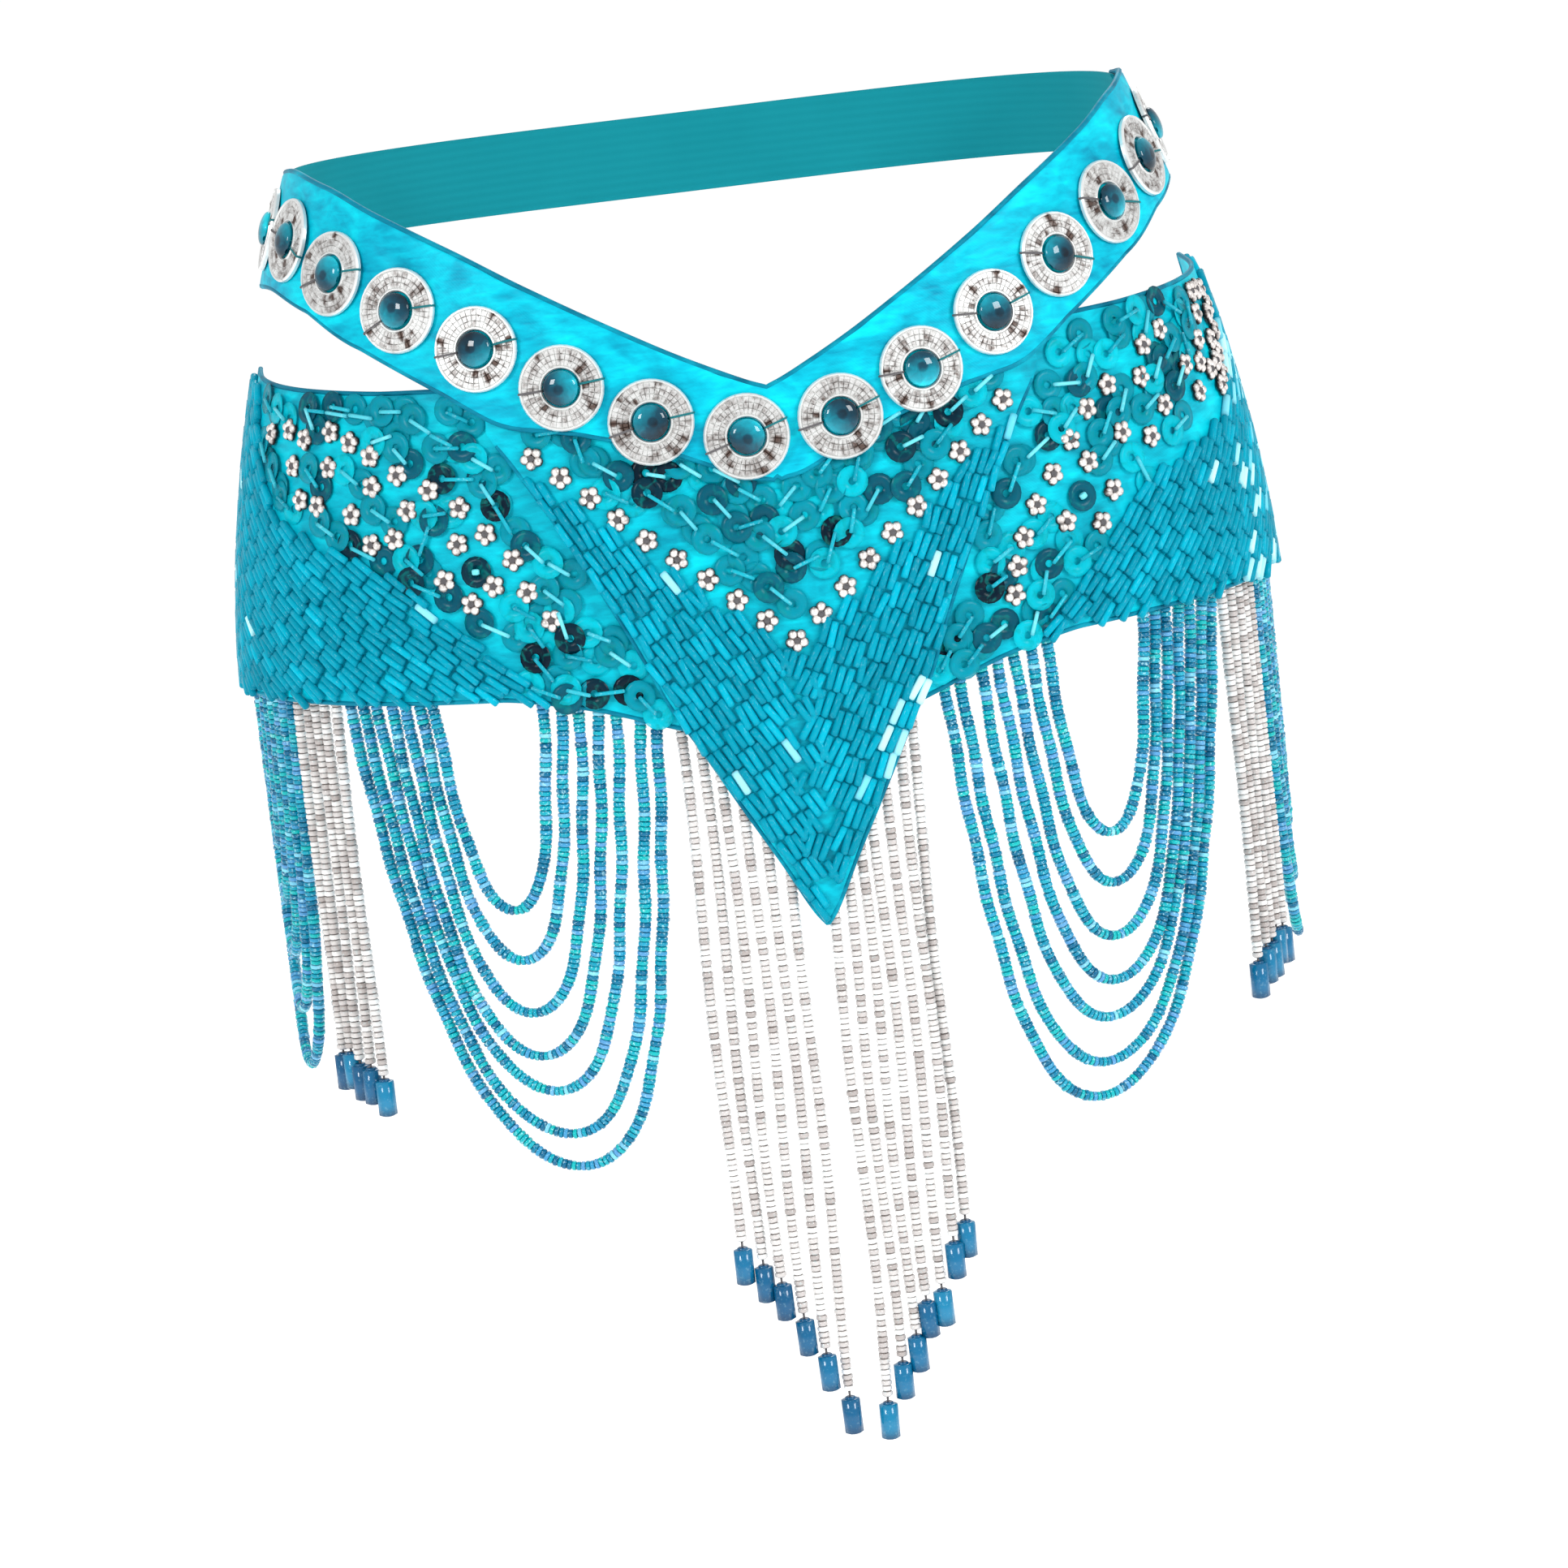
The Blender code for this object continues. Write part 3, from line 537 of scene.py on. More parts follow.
def silver_finish(name, dark, light, speckle, hollows):
    """Stamped silver, dulled in speckles and where the named attribute is high: patina in the coins' hollows,
    painted shade at the feet of the studs' petals.
    """
    finish = Finish(name, Metallic=0.55, Roughness=0.36)
    place = finish.place()
    grain = finish.noise(place, speckle, 3.0, 0.6)
    blots = finish.noise(place, speckle * 0.4, 2.0, 0.9)
    # Speckle plus the named attribute: patina on the coins, painted shade at the petal feet on the studs.
    patina_and_shade = (grain * 0.5 + blots * 0.3 + finish.attribute(hollows) * 0.42).step(0.41, 0.74)
    base = finish.mix(patina_and_shade, colour(*light), colour(*dark))
    finish.feed(Base_Color=base, Roughness=patina_and_shade * 0.25 + 0.30)
    return finish.bump(grain, 0.25, 0.0003)


def thread_finish(name, *shade):
    """Twisted sewing thread."""
    finish = Finish(name, Roughness=0.7)
    dark = colour(*shade)
    light = tuple(min(1.0, v * 1.9) for v in dark)
    return finish.feed(Base_Color=finish.mix(finish.noise(finish.place(), 2600.0, 1.0), dark, light))


def make_finishes():
    # The bugle ramp ends near white, the colour of painted glints.
    bugle = shades((0, 0, 116, 138), (0.45, 0, 144, 168), (0.78, 4, 174, 200), (1, 200, 250, 252))
    needle = shades((0, 4, 138, 160), (0.5, 28, 172, 192), (1, 112, 214, 226))
    seed = shades(
        (0, 0, 94, 132), (0.22, 8, 128, 162), (0.42, 0, 156, 178), (0.60, 0, 176, 176), (0.76, 36, 144, 186),
        (0.90, 86, 148, 200), (1, 126, 210, 228),
    )
    silver = shades((0, 172, 164, 161), (0.2, 198, 192, 190), (0.6, 220, 217, 215), (1, 246, 246, 245))
    drop = shades((0, 6, 84, 126), (0.5, 10, 104, 148), (1, 20, 126, 168))
    return {
        # Each satin's three tones run from painted shade through its own colour to painted highlight.
        "satin": satin_finish("turquoise satin", (0, 138, 170), (0, 179, 205), (8, 214, 230)),
        "ground": satin_finish("beaded satin", (0, 142, 166), (0, 182, 204), (0, 216, 232)),
        "piping": satin_finish("satin piping", (0, 96, 122), (0, 124, 150), (0, 158, 182)),
        "elastic": elastic_finish(),
        "bugle": glass_finish(
            "turquoise bugles", bugle, (0, 100, 124), shine=0.08, coat=0.0, dim=0.30, glow=0.27, glint=0.04
        ),
        "needle": glass_finish(
            "pale bugles", needle, (10, 130, 150), shine=0.15, coat=0.05, dim=0.4, glow=0.05
        ),
        "seed": glass_finish(
            "rainbow seed beads", seed, (0, 78, 104), shine=0.25, coat=0.15, dim=0.70, glow=0.10, glint=0.50
        ),
        "silver_seed": glass_finish("silver-lined beads", silver, (92, 80, 76), ends_from=0.68),
        "drop": glass_finish("deep blue drops", drop, (6, 58, 92), glint=0.1),
        "round": round_bead_finish(),
        "sequin": sequin_finish(),
        "coin": silver_finish("stamped coin silver", (88, 72, 66), (233, 234, 233), 440.0, "hollow"),
        # On the studs 'along' is highest at the foot of each petal, so the darkening there is painted shade.
        "stud": silver_finish("stud silver", (60, 44, 42), (240, 234, 230), 520.0, "along"),
        "dark": thread_finish("dark thread", 84, 82, 84),
        "teal": thread_finish("teal thread", 10, 96, 102),
    }


# Modelling by hand: primitives shaped in edit mode, then copied


def take(obj=None):
    """Select one object alone, or nothing."""
    for other in bpy.context.selected_objects:
        other.select_set(False)
    if obj:
        obj.select_set(True)
        bpy.context.view_layer.objects.active = obj


def start(kind, **sizes):
    """A new primitive, selected alone."""
    take()
    getattr(bpy.ops.mesh, f"primitive_{kind}_add")(**sizes)
    return bpy.context.object


def start_rod(length, radius, sides):
    """A cylinder along x."""
    return start("cylinder", vertices=sides, radius=radius, depth=length, rotation=ALONG_X)


def pick_faces(obj, wanted):
    """In edit mode, with only the wanted faces selected."""
    bpy.ops.object.mode_set(mode="EDIT")
    bpy.ops.mesh.select_mode(type="FACE")
    bpy.ops.mesh.select_all(action="DESELECT")
    bpy.ops.object.mode_set(mode="OBJECT")
    for face in obj.data.polygons:
        face.select = bool(wanted(face))
    bpy.ops.object.mode_set(mode="EDIT")


def inset(*steps):
    """Inset the picked faces once for each step of thickness and depth."""
    for thickness, depth in steps:
        bpy.ops.mesh.inset(thickness=thickness, depth=depth)


def apply_place(obj):
    """Leave edit mode and put the object's place, turn and size into its mesh."""
    bpy.ops.object.mode_set(mode="OBJECT")
    take(obj)
    bpy.ops.object.transform_apply(location=True, rotation=True, scale=True)
    return obj


def done(obj, angle=40.0):
    """Put the place into the mesh and smooth all but the sharp edges."""
    apply_place(obj)
    bpy.ops.object.shade_smooth_by_angle(angle=math.radians(angle))
    return obj


def barrel_bead(length, radius, shoulder, lip, sides=8):
    """A bead along x: a cylinder with both ends drawn in by 'lip' over 'shoulder'."""
    bead = start_rod(length - 2 * shoulder, radius, sides)
    pick_faces(bead, lambda face: abs(face.normal.z) > 0.9)
    inset((lip, shoulder))
    return done(bead, 50.0)


def ring_sequin(radius, hole, thickness, cup):
    """A cupped film ring: a flat disc inset twice on each face and opened through its middle."""
    ring = start("cylinder", vertices=16, radius=radius, depth=thickness)
    pick_faces(ring, lambda face: abs(face.normal.z) > 0.9)
    inset(((radius - hole) * 0.45, 0.0))
    bpy.ops.transform.translate(value=(0, 0, -cup * 0.6))
    inset(((radius - hole) * 0.55, 0.0))
    bpy.ops.transform.translate(value=(0, 0, -cup * 0.4))
    bpy.ops.mesh.bridge_edge_loops()
    done(ring, 35.0)
    ring.location.z = -min(v.co.z for v in ring.data.vertices)
    return apply_place(ring)


def flower_stud(radius, height):
    """Five domed petals round a dark eye."""
    petals = []
    for number in range(5):
        angle = 2 * math.pi * number / 5
        place = (radius * 0.54 * math.cos(angle), radius * 0.54 * math.sin(angle), 0)
        petal = start("uv_sphere", segments=10, ring_count=6, radius=radius * 0.42, location=place)
        bpy.ops.object.mode_set(mode="EDIT")
        bpy.ops.mesh.select_all(action="SELECT")
        bpy.ops.mesh.bisect(plane_co=place, plane_no=(0, 0, 1), clear_inner=True, use_fill=True)
        bpy.ops.mesh.select_all(action="SELECT")
        bpy.ops.transform.resize(value=(1.0, 1.0, height / (radius * 0.42)), center_override=place)
        petals.append(done(petal, 60.0))
    eye = start("cylinder", vertices=10, radius=radius * 0.23, depth=height * 0.9)
    eye.location.z = height * 0.45
    pick_faces(eye, lambda face: face.normal.z > 0.9)
    inset((radius * 0.08, -height * 0.35))
    done(eye)
    take(petals[0])
    for petal in petals[1:]:
        petal.select_set(True)
    bpy.ops.object.join()
    return petals[0], eye


def stamped_coin():
    """A ring coin: turned rims round three rows of small gem-like facets."""
    coin = start("cylinder", vertices=40, radius=COIN_RADIUS, depth=COIN_THICKNESS * 0.6)
    coin.location.z = COIN_THICKNESS * 0.3
    band, rim, raised = COIN_RADIUS - COIN_HOLE_RADIUS, 0.8 * MM, 0.7 * MM
    row = (band - 3 * rim) / 3
    pick_faces(coin, lambda face: face.normal.z < -0.9)
    inset((band, 0.0))
    pick_faces(coin, lambda face: face.normal.z > 0.9)
    inset((rim * 0.5, raised), (rim * 0.6, 0.0), (rim * 0.4, -raised))
    inset(*[(row, 0.0)] * 3)
    inset((rim * 0.4, raised), (rim * 0.6, 0.0), (rim * 0.5, -raised))
    done(coin, 30.0)

    def spoke(face):
        return math.hypot(face.center.x, face.center.y)

    inner = min(spoke(face) for face in coin.data.polygons if spoke(face) > 1 * MM)
    pick_faces(coin, lambda face: abs(face.normal.z) > 0.9 and spoke(face) < inner * 0.5)
    bpy.ops.mesh.bridge_edge_loops()
    pick_faces(coin, lambda face: face.normal.z > 0.8 and abs(spoke(face) - COIN_MIDDLE) < row * 1.5)
    bpy.ops.mesh.inset(thickness=0.22 * MM, depth=0.42 * MM, use_individual=True)
    return done(coin, 25.0)


def round_bead():
    """A round glass bead, flattened where it sits, its thread hole sunk in at each side."""
    bead = start("uv_sphere", segments=24, ring_count=16, radius=COIN_BEAD_RADIUS, rotation=ALONG_X)
    pick_faces(bead, lambda face: abs(face.center.z) > COIN_BEAD_RADIUS * 0.97)
    bpy.ops.mesh.extrude_region_move(TRANSFORM_OT_translate={"value": (0, 0, 0)})
    bpy.ops.transform.resize(value=(0.75, 0.6, 0.6))
    done(bead, 50.0)
    bead.scale.z = COIN_BEAD_HEIGHT / 2 / COIN_BEAD_RADIUS
    bead.location.z = COIN_BEAD_HEIGHT / 2
    return apply_place(bead)


def drop_bead():
    """A blocky drop along x with its top at the origin: a capped tube with a rounded foot."""
    drop = start_rod(DROP_LENGTH, DROP_RADIUS, 10)
    drop.location.x = DROP_LENGTH / 2
    pick_faces(drop, lambda face: face.normal.z > 0.9)
    inset((DROP_RADIUS * 0.30, 0.0006), (DROP_RADIUS * 0.35, 0.0004))
    pick_faces(drop, lambda face: face.normal.z < -0.9)
    inset((DROP_RADIUS * 0.28, 0.0003), (DROP_RADIUS * 0.30, 0.0), (DROP_RADIUS * 0.10, -0.0008))
    return done(drop, 45.0)


# Meshes made of many copies


def mesh_points(mesh):
    points = np.zeros(len(mesh.vertices) * 3, np.float32)
    mesh.vertices.foreach_get("co", points)
    return points.reshape(-1, 3).astype(float)


def add_values(mesh, label, values):
    mesh.attributes.new(label, "FLOAT", "POINT")
    mesh.attributes[label].data.foreach_set("value", np.asarray(values, np.float32))


def add_cut(mesh, places):
    """The map 'cut', from a place in metres for each point."""
    corners = np.zeros(len(mesh.loops), np.int32)
    mesh.loops.foreach_get("vertex_index", corners)
    mesh.uv_layers.new(name="cut").data.foreach_set("uv", places[corners].astype(np.float32).ravel())


def make_piece(name, mesh, *finishes):
    for finish in finishes:
        mesh.materials.append(finish.material)
    piece = bpy.data.objects.new(name, mesh)
    bpy.context.scene.collection.objects.link(piece)
    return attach(piece, BODY)


def ring_quads(count, sides):
    """Corners of the faces between rings of points, one ring after another."""
    ring, k = np.meshgrid(np.arange(count - 1) * sides, np.arange(sides), indexing="ij")
    m = (k + 1) % sides
    return np.stack([ring + k, ring + m, ring + sides + m, ring + sides + k], axis=-1).ravel()


def frame_along(ahead, hint):
    """Axes with x ahead, for a bead on a thread."""
    aside = unit(np.cross(ahead, hint))
    return np.stack([ahead, aside, np.cross(ahead, aside)], axis=-1)


class Pattern:
    """A small model's points and faces, ready to be copied many times."""

    def __init__(self, obj, low_ends=False):
        """low_ends: 'along' runs from 1 at the foot to 0 at the top, instead of along the length."""
        mesh = obj.data
        self.points = mesh_points(mesh)
        self.corners = np.array([loop.vertex_index for loop in mesh.loops])
        self.counts = np.array([face.loop_total for face in mesh.polygons])
        self.smooth = np.array([face.use_smooth for face in mesh.polygons])
        x, _, z = self.points.T
        self.along = 1 - z / z.max() if low_ends else x / np.abs(x).max()
        bpy.data.objects.remove(obj)


class Gather:
    """Collects many small copies into one mesh, each with its own tint."""

    def __init__(self):
        self.parts, self.total = [], 0

    def add(self, points, corners, counts, smooth, tints, along, slot):
        tints, along = (np.broadcast_to(values, len(points)) for values in (tints, along))
        slots = np.full(len(counts), slot)
        self.parts.append((points, corners + self.total, counts, smooth, tints, along, slots))
        self.total += len(points)

    def strew(self, pattern, places, axes, tints, slot=0):
        """Copies of a pattern at the places, each turned by its axes."""
        places, axes = np.asarray(places), np.asarray(axes)
        copies, size = len(places), len(pattern.points)
        points = np.einsum("nij,pj->npi", axes, pattern.points) + places[:, None, :]
        self.add(
            points.reshape(-1, 3),
            (pattern.corners[None, :] + np.arange(copies)[:, None] * size).ravel(),
            np.tile(pattern.counts, copies),
            np.tile(pattern.smooth, copies),
            np.repeat(tints, size),
            np.tile(pattern.along, copies),
            slot,
        )

    def tube(self, path, radius, sides=6, slot=0):
        """A closed tube along a path of points."""
        path = np.asarray(path, float)
        count, ahead = len(path), unit(np.gradient(path, axis=0))
        across, rings = unit(np.cross(ahead[0], (0.31, 0.52, 0.79))), []
        angles = 2 * math.pi * np.arange(sides) / sides
        for here, way in zip(path, ahead):
            across = unit(across - way * across.dot(way))
            other = np.cross(way, across)
            rings.append(here + radius * (np.outer(np.cos(angles), across) + np.outer(np.sin(angles), other)))
        caps = [np.arange(sides)[::-1], np.arange(sides) + (count - 1) * sides]
        corners = np.concatenate([ring_quads(count, sides), *caps])
        counts = np.repeat([4, sides], [(count - 1) * sides, 2])
        smooth = np.arange(len(counts)) < (count - 1) * sides
        self.add(np.concatenate(rings), corners, counts, smooth, 0.5, 0.0, slot)

    def finish(self, name, *finishes):
        points, corners, counts, smooth, tints, along, slots = map(np.concatenate, zip(*self.parts))
        mesh = bpy.data.meshes.new(name)
        mesh.vertices.add(len(points))
        mesh.vertices.foreach_set("co", points.astype(np.float32).ravel())
        mesh.loops.add(len(corners))
        mesh.loops.foreach_set("vertex_index", corners.astype(np.int32))
        mesh.polygons.add(len(counts))
        starts = np.concatenate([[0], np.cumsum(counts)[:-1]])
        mesh.polygons.foreach_set("loop_start", starts.astype(np.int32))
        mesh.polygons.foreach_set("material_index", slots.astype(np.int32))
        mesh.update(calc_edges=True)
        mesh.polygons.foreach_set("use_smooth", smooth)
        add_values(mesh, "tint", tints)
        add_values(mesh, "along", along)
        return make_piece(name, mesh, *finishes)


# Cloth


def grid_area(points):
    """Area of a grid of points."""
    first = np.cross(points[1:, :-1] - points[:-1, :-1], points[:-1, 1:] - points[:-1, :-1])
    second = np.cross(points[:-1, 1:] - points[1:, 1:], points[1:, :-1] - points[1:, 1:])
    return float((np.linalg.norm(first, axis=-1) + np.linalg.norm(second, axis=-1)).sum() / 2)


def make_wall(name, arcs, heights, inner, outer, finish):
    """A cloth wall on the form, between two layers of one grid of arcs and heights; with its area."""
    if arcs[0, 0] > arcs[0, -1]:
        arcs, heights, inner, outer = (values[:, ::-1] for values in (arcs, heights, inner, outer))
    index = np.arange(arcs.size).reshape(arcs.shape)
    a, b = index[:-1, :-1], index[1:, :-1]
    c, d = index[1:, 1:], index[:-1, 1:]
    inside = np.stack([a, d, c, b], axis=-1).reshape(-1, 4)
    outside = np.stack([a, b, c, d], axis=-1).reshape(-1, 4) + arcs.size
    rim = np.concatenate([index[0, :], index[1:, -1], index[-1, -2::-1], index[-2:0:-1, 0]])
    ahead = np.roll(rim, -1)
    edge = np.stack([rim, rim + arcs.size, ahead + arcs.size, ahead], axis=-1)
    layers = [cloth_points(arcs, heights, out).reshape(-1, 3) for out in (inner, outer)]
    mesh = bpy.data.meshes.new(name)
    mesh.from_pydata(np.concatenate(layers).tolist(), [], np.concatenate([inside, outside, edge]).tolist())
    add_cut(mesh, np.tile(np.stack([arcs.ravel(), heights.ravel()], axis=-1), (2, 1)))
    mesh.shade_smooth()
    mesh.set_sharp_from_angle(angle=math.radians(60))
    return make_piece(name, mesh, finish), grid_area(cloth_points(arcs, heights, (inner + outer) / 2))


def soft_relief(creases, arcs, drops):
    """Depth of the soft troughs at places given by arc and by drop below the top edge."""
    depth = np.zeros(arcs.shape)
    for crease in creases:
        x, y = arcs - crease.arc, drops - crease.height
        along = x * math.cos(crease.slant) + y * math.sin(crease.slant)
        across = -x * math.sin(crease.slant) + y * math.cos(crease.slant)
        bend = across + 0.12 * along**2 / crease.length
        fade = np.clip(1 - (2 * along / crease.length) ** 2, 0.0, 1.0) ** 1.5
        depth += crease.depth * fade * np.exp(-((bend / crease.width) ** 2))
    return depth


def grid(first, last, columns, top, foot, rows):
    """Arcs and heights of a cloth panel's grid, from its top edge down."""
    arcs = np.tile(np.linspace(first, last, columns + 1), (rows + 1, 1))
    down = np.linspace(0.0, 1.0, rows + 1)[:, None]
    high, low = top(arcs[0])[None, :], foot(arcs[0])[None, :]
    return arcs, high + (low - high) * down


def tuck_edges(heights):
    """How much the outer face rolls in towards its top and bottom edges, from 0 to 1."""
    above, below = heights[0][None, :] - heights, heights - heights[-1][None, :]
    return np.clip(1 - np.minimum(above, below) / EDGE_ROLL, 0.0, 1.0) ** 2


def edge_piping(name, paths, radius, finishes):
    gather = Gather()
    for path in paths:
        gather.tube(path, radius, sides=8)
    piece = gather.finish(name, finishes["piping"])
    x, y, z = mesh_points(piece.data).T
    add_cut(piece.data, np.stack([x + y, z], axis=-1))
    return piece


def make_band(finishes):
    arcs, heights = grid(-BAND_HALF_ARC, BAND_HALF_ARC, 360, band_top, band_foot, 26)
    troughs = soft_relief(BAND_CREASES, arcs, heights[0][None, :] - heights)
    rolled = tuck_edges(heights)
    outer = BAND_FACE - troughs - rolled * BAND_WALL * 0.25
    inner = BAND_OUT + 0.0003 + rolled * 0.0002 - troughs * 0.2
    piece, area = make_wall("waistband", arcs, heights, inner, outer, finishes["satin"])
    arcs, middle = arcs[0], BAND_OUT + BAND_WALL / 2
    edges = (band_top(arcs) - PIPING_INSET, band_foot(arcs) + PIPING_INSET)
    paths = [cloth_points(arcs, edge, middle) for edge in edges]
    piping = edge_piping("waistband_piping", paths, BAND_PIPING_RADIUS, finishes)
    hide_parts("front_band")
    long, deep = 2 * BAND_HALF_ARC, -float(band_foot(0.0))


def make_elastic(finishes):
    first = BAND_HALF_ARC - ELASTIC_TUCK
    last = 2 * HALF_ROUND - first

    def top(arcs):
        return ELASTIC_TOP - ELASTIC_BACK_DIP * np.sin(math.pi * (arcs - first) / (last - first))

    arcs, heights = grid(first, last, 220, top, lambda arcs: top(arcs) - ELASTIC_HEIGHT, 40)
    ribs = RIB_DEPTH * np.cos(2 * math.pi * (heights[0][None, :] - heights) / RIB_PITCH)
    inner = ELASTIC_OUT + ELASTIC_INSET - ribs
    outer = ELASTIC_OUT + ELASTIC_WALL - ELASTIC_INSET + ribs
    piece, _ = make_wall("elastic_back", arcs, heights, inner, outer, finishes["elastic"])
    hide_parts("back_elastic")


def ripple(arcs, heights, size):
    """Uneven soft lumps of cloth drawn down by its stitches."""
    a, h = arcs / MM, heights / MM
    wave = np.sin(a * 0.31 + 1.3 * np.sin(h * 0.11)) * np.sin(h * 0.27 + 1.1 * np.sin(a * 0.09))
    wide = np.sin(a * 0.083 + h * 0.041 + 0.7) * np.sin(h * 0.067 - a * 0.021)
    return size * (0.55 * wave + 0.45 * wide)


def lumpy_wall(name, side, arcs, heights, out, shift, finishes):
    """The ground that beads are sewn to, a little thinner than its solid."""
    lumps = ripple(arcs + shift, heights, LUMP_DEPTH)
    outer = out + PANEL_WALL - PANEL_INSET + lumps - tuck_edges(heights) * ROLL_DEPTH
    return make_wall(name, side * arcs, heights, out + PANEL_INSET + lumps * 0.8, outer, finishes["ground"])


def make_point(finishes):
    arcs, heights = grid(-0.0968, 0.0968, 200, lambda a: band_foot(a) + PANEL_TUCK, point_edge, 70)
    piece, area = lumpy_wall("point_cloth", 1, arcs, heights, POINT_OUT, 0.0, finishes)
    arcs = np.linspace(-0.0935, 0.0935, 400)
    edge = cloth_points(arcs, point_edge(arcs) + 0.0005, POINT_OUT + PANEL_WALL / 2)
    piping = edge_piping("point_edging", [edge], PANEL_PIPING_RADIUS, finishes)
    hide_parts("point_panel")
    flat = (2 * POINT_HALF_ARC, PANEL_TUCK + float(band_foot(POINT_HALF_ARC) - POINT_EDGE[0].height))


def make_wing(side, name, finishes):
    up = 1 - np.linspace(0.0, 1.0, 45)[:, None]
    across = np.linspace(0.0, 1.0, 151)[None, :]
    hem_start, inner_top = float(wing_hem(0.0)), POINT_HALF_ARC - WING_UNDER_BAND
    inner_height = hem_start + (float(wing_top(inner_top)) - hem_start) * up
    inner_arc = point_edge_arc(inner_height) - (WING_UNDER_POINT + (WING_UNDER_BAND - WING_UNDER_POINT) * up)
    outer_arc = WING_END_HEM_ARC + (WING_END_TOP_ARC - WING_END_HEM_ARC) * up
    arcs = inner_arc + (outer_arc - inner_arc) * across
    heights = wing_hem(arcs) + (wing_top(arcs) - wing_hem(arcs)) * up
    piece, area = lumpy_wall(f"{name}_wing_cloth", side, arcs, heights, WING_OUT, 0.05, finishes)
    top_arcs, hem_arcs = np.linspace(0.100, WING_END_TOP_ARC, 200), np.linspace(WING_END_HEM_ARC, 0.040, 260)
    end_down = np.linspace(0.0, 1.0, 90)[1:-1]
    end_arcs = WING_END_TOP_ARC + (WING_END_HEM_ARC - WING_END_TOP_ARC) * end_down
    end_top, end_hem = wing_top(WING_END_TOP_ARC), wing_hem(WING_END_HEM_ARC)
    run_arcs = np.concatenate([top_arcs, end_arcs, hem_arcs])
    tops, hems = wing_top(top_arcs) - PIPING_INSET, wing_hem(hem_arcs) + PIPING_INSET
    run_heights = np.concatenate([tops, end_top + (end_hem - end_top) * end_down, hems])
    path = cloth_points(side * run_arcs, run_heights, WING_OUT + PANEL_WALL / 2)
    piping = edge_piping(f"{name}_wing_edging", [path], PANEL_PIPING_RADIUS, finishes)
    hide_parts(f"wing_{name}")
    flat = (WING_END_HEM_ARC - float(inner_arc.min()), float(wing_top(0.2) - WING_HEM[0].height))


# Beads and sequins sewn all over the point and the wings

BUGLE_LENGTH, BUGLE_RADIUS = 0.0098, 0.00142
NEEDLE_LENGTH, NEEDLE_RADIUS = 0.0100, 0.00075
BUGLE_PITCH_ALONG, BUGLE_PITCH_ACROSS, BLOCK = 0.0099, 0.00278, 3
SEQUIN_RADIUS, SEQUIN_HOLE, SEQUIN_FILM, SEQUIN_CUP = 0.0058, 0.0015, 0.00022, 0.0003
STUD_RADIUS, STUD_HEIGHT = 0.0047, 0.0019
TIP_BEADS = -0.2755
PAIR_SPACING, STUD_SPACING, STUD_PITCH = 0.0096, 0.0072, 0.0123
SPARE_TRIES, HALF_PAIR, NEEDLE_SPAN, LONE_RING_SPAN = 2600, 0.0046, 0.0115, 0.004
TINTS = {"ink": 0.02, "deep": 0.25, "sea": 0.60, "aqua": 0.92}


def bugle_places(region, heading, bounds, dice):
    """Centres and headings of bugles in brick-like blocks, side by side, wherever the region holds them."""
    (low_arc, high_arc), (low, high) = bounds
    reach = math.hypot(high_arc - low_arc, high - low)
    ahead = np.array([math.cos(heading), math.sin(heading)])
    aside = np.array([-ahead[1], ahead[0]])
    columns = np.arange(-int(reach / BUGLE_PITCH_ACROSS), int(reach / BUGLE_PITCH_ACROSS) + 1)
    rows = np.arange(-int(reach / BUGLE_PITCH_ALONG), int(reach / BUGLE_PITCH_ALONG) + 1)
    column, row = (v.ravel() for v in np.meshgrid(columns, rows, indexing="ij"))
    stagger = 0.5 * ((column // BLOCK) % 2)
    along = (row + stagger) * BUGLE_PITCH_ALONG + dice.normal(0, 0.00036, len(row))
    across = column * BUGLE_PITCH_ACROSS + dice.normal(0, 0.00010, len(row))
    middle = np.array([(low_arc + high_arc) / 2, (low + high) / 2])
    places = middle + along[:, None] * ahead + across[:, None] * aside
    reach_end = ahead * BUGLE_LENGTH * 0.42
    ends = region(*(places + reach_end).T, False) & region(*(places - reach_end).T, False)
    kept = region(*places.T, True) & ends
    headings = heading + dice.normal(0, 0.065, len(row))
    return places[kept], headings[kept]


def point_arm(side):
    """The beaded arm of the point on one side: below the studs, the two arms crossing at the middle."""

    def holds(arcs, heights, whole):
        near = np.abs(arcs)
        narrow = np.minimum(0.0050, point_edge_arc(heights) * 0.35)
        middle = narrow * np.where(np.floor(heights / 0.0104) % 2 < 1, 1.0, -1.0)
        own = side * (arcs - middle) > (-0.0006 if whole else -0.0100)
        own = np.where(heights < TIP_BEADS, side < 0, own)
        below = heights < through_rows(STUD_LINE, near) - 0.0045
        inside = near < point_edge_arc(heights) - 0.0006
        clear = heights < band_foot(near) - 0.0010
        return own & below & inside & clear & (near < 0.094)

    return holds


def wing_beads(side):
    """The part of a wing that is covered by bugles."""

    def holds(arcs, heights, whole):
        near = side * arcs
        edge = point_edge_arc(heights) + 0.0016
        line = np.where(near > WING_BEAD_LINE[-1].arc, 0.0, through_rows(WING_BEAD_LINE, near))
        below = heights < line - 0.0015
        hem = wing_hem(near) + (0.0003 if whole else -0.0012)
        inside = (heights > hem) & (heights < wing_top(near) - 0.0012)
        clear = heights < band_foot(near) - 0.0008
        return (near > edge) & (near < wing_end_arc(heights) - 0.0012) & below & inside & clear

    return holds


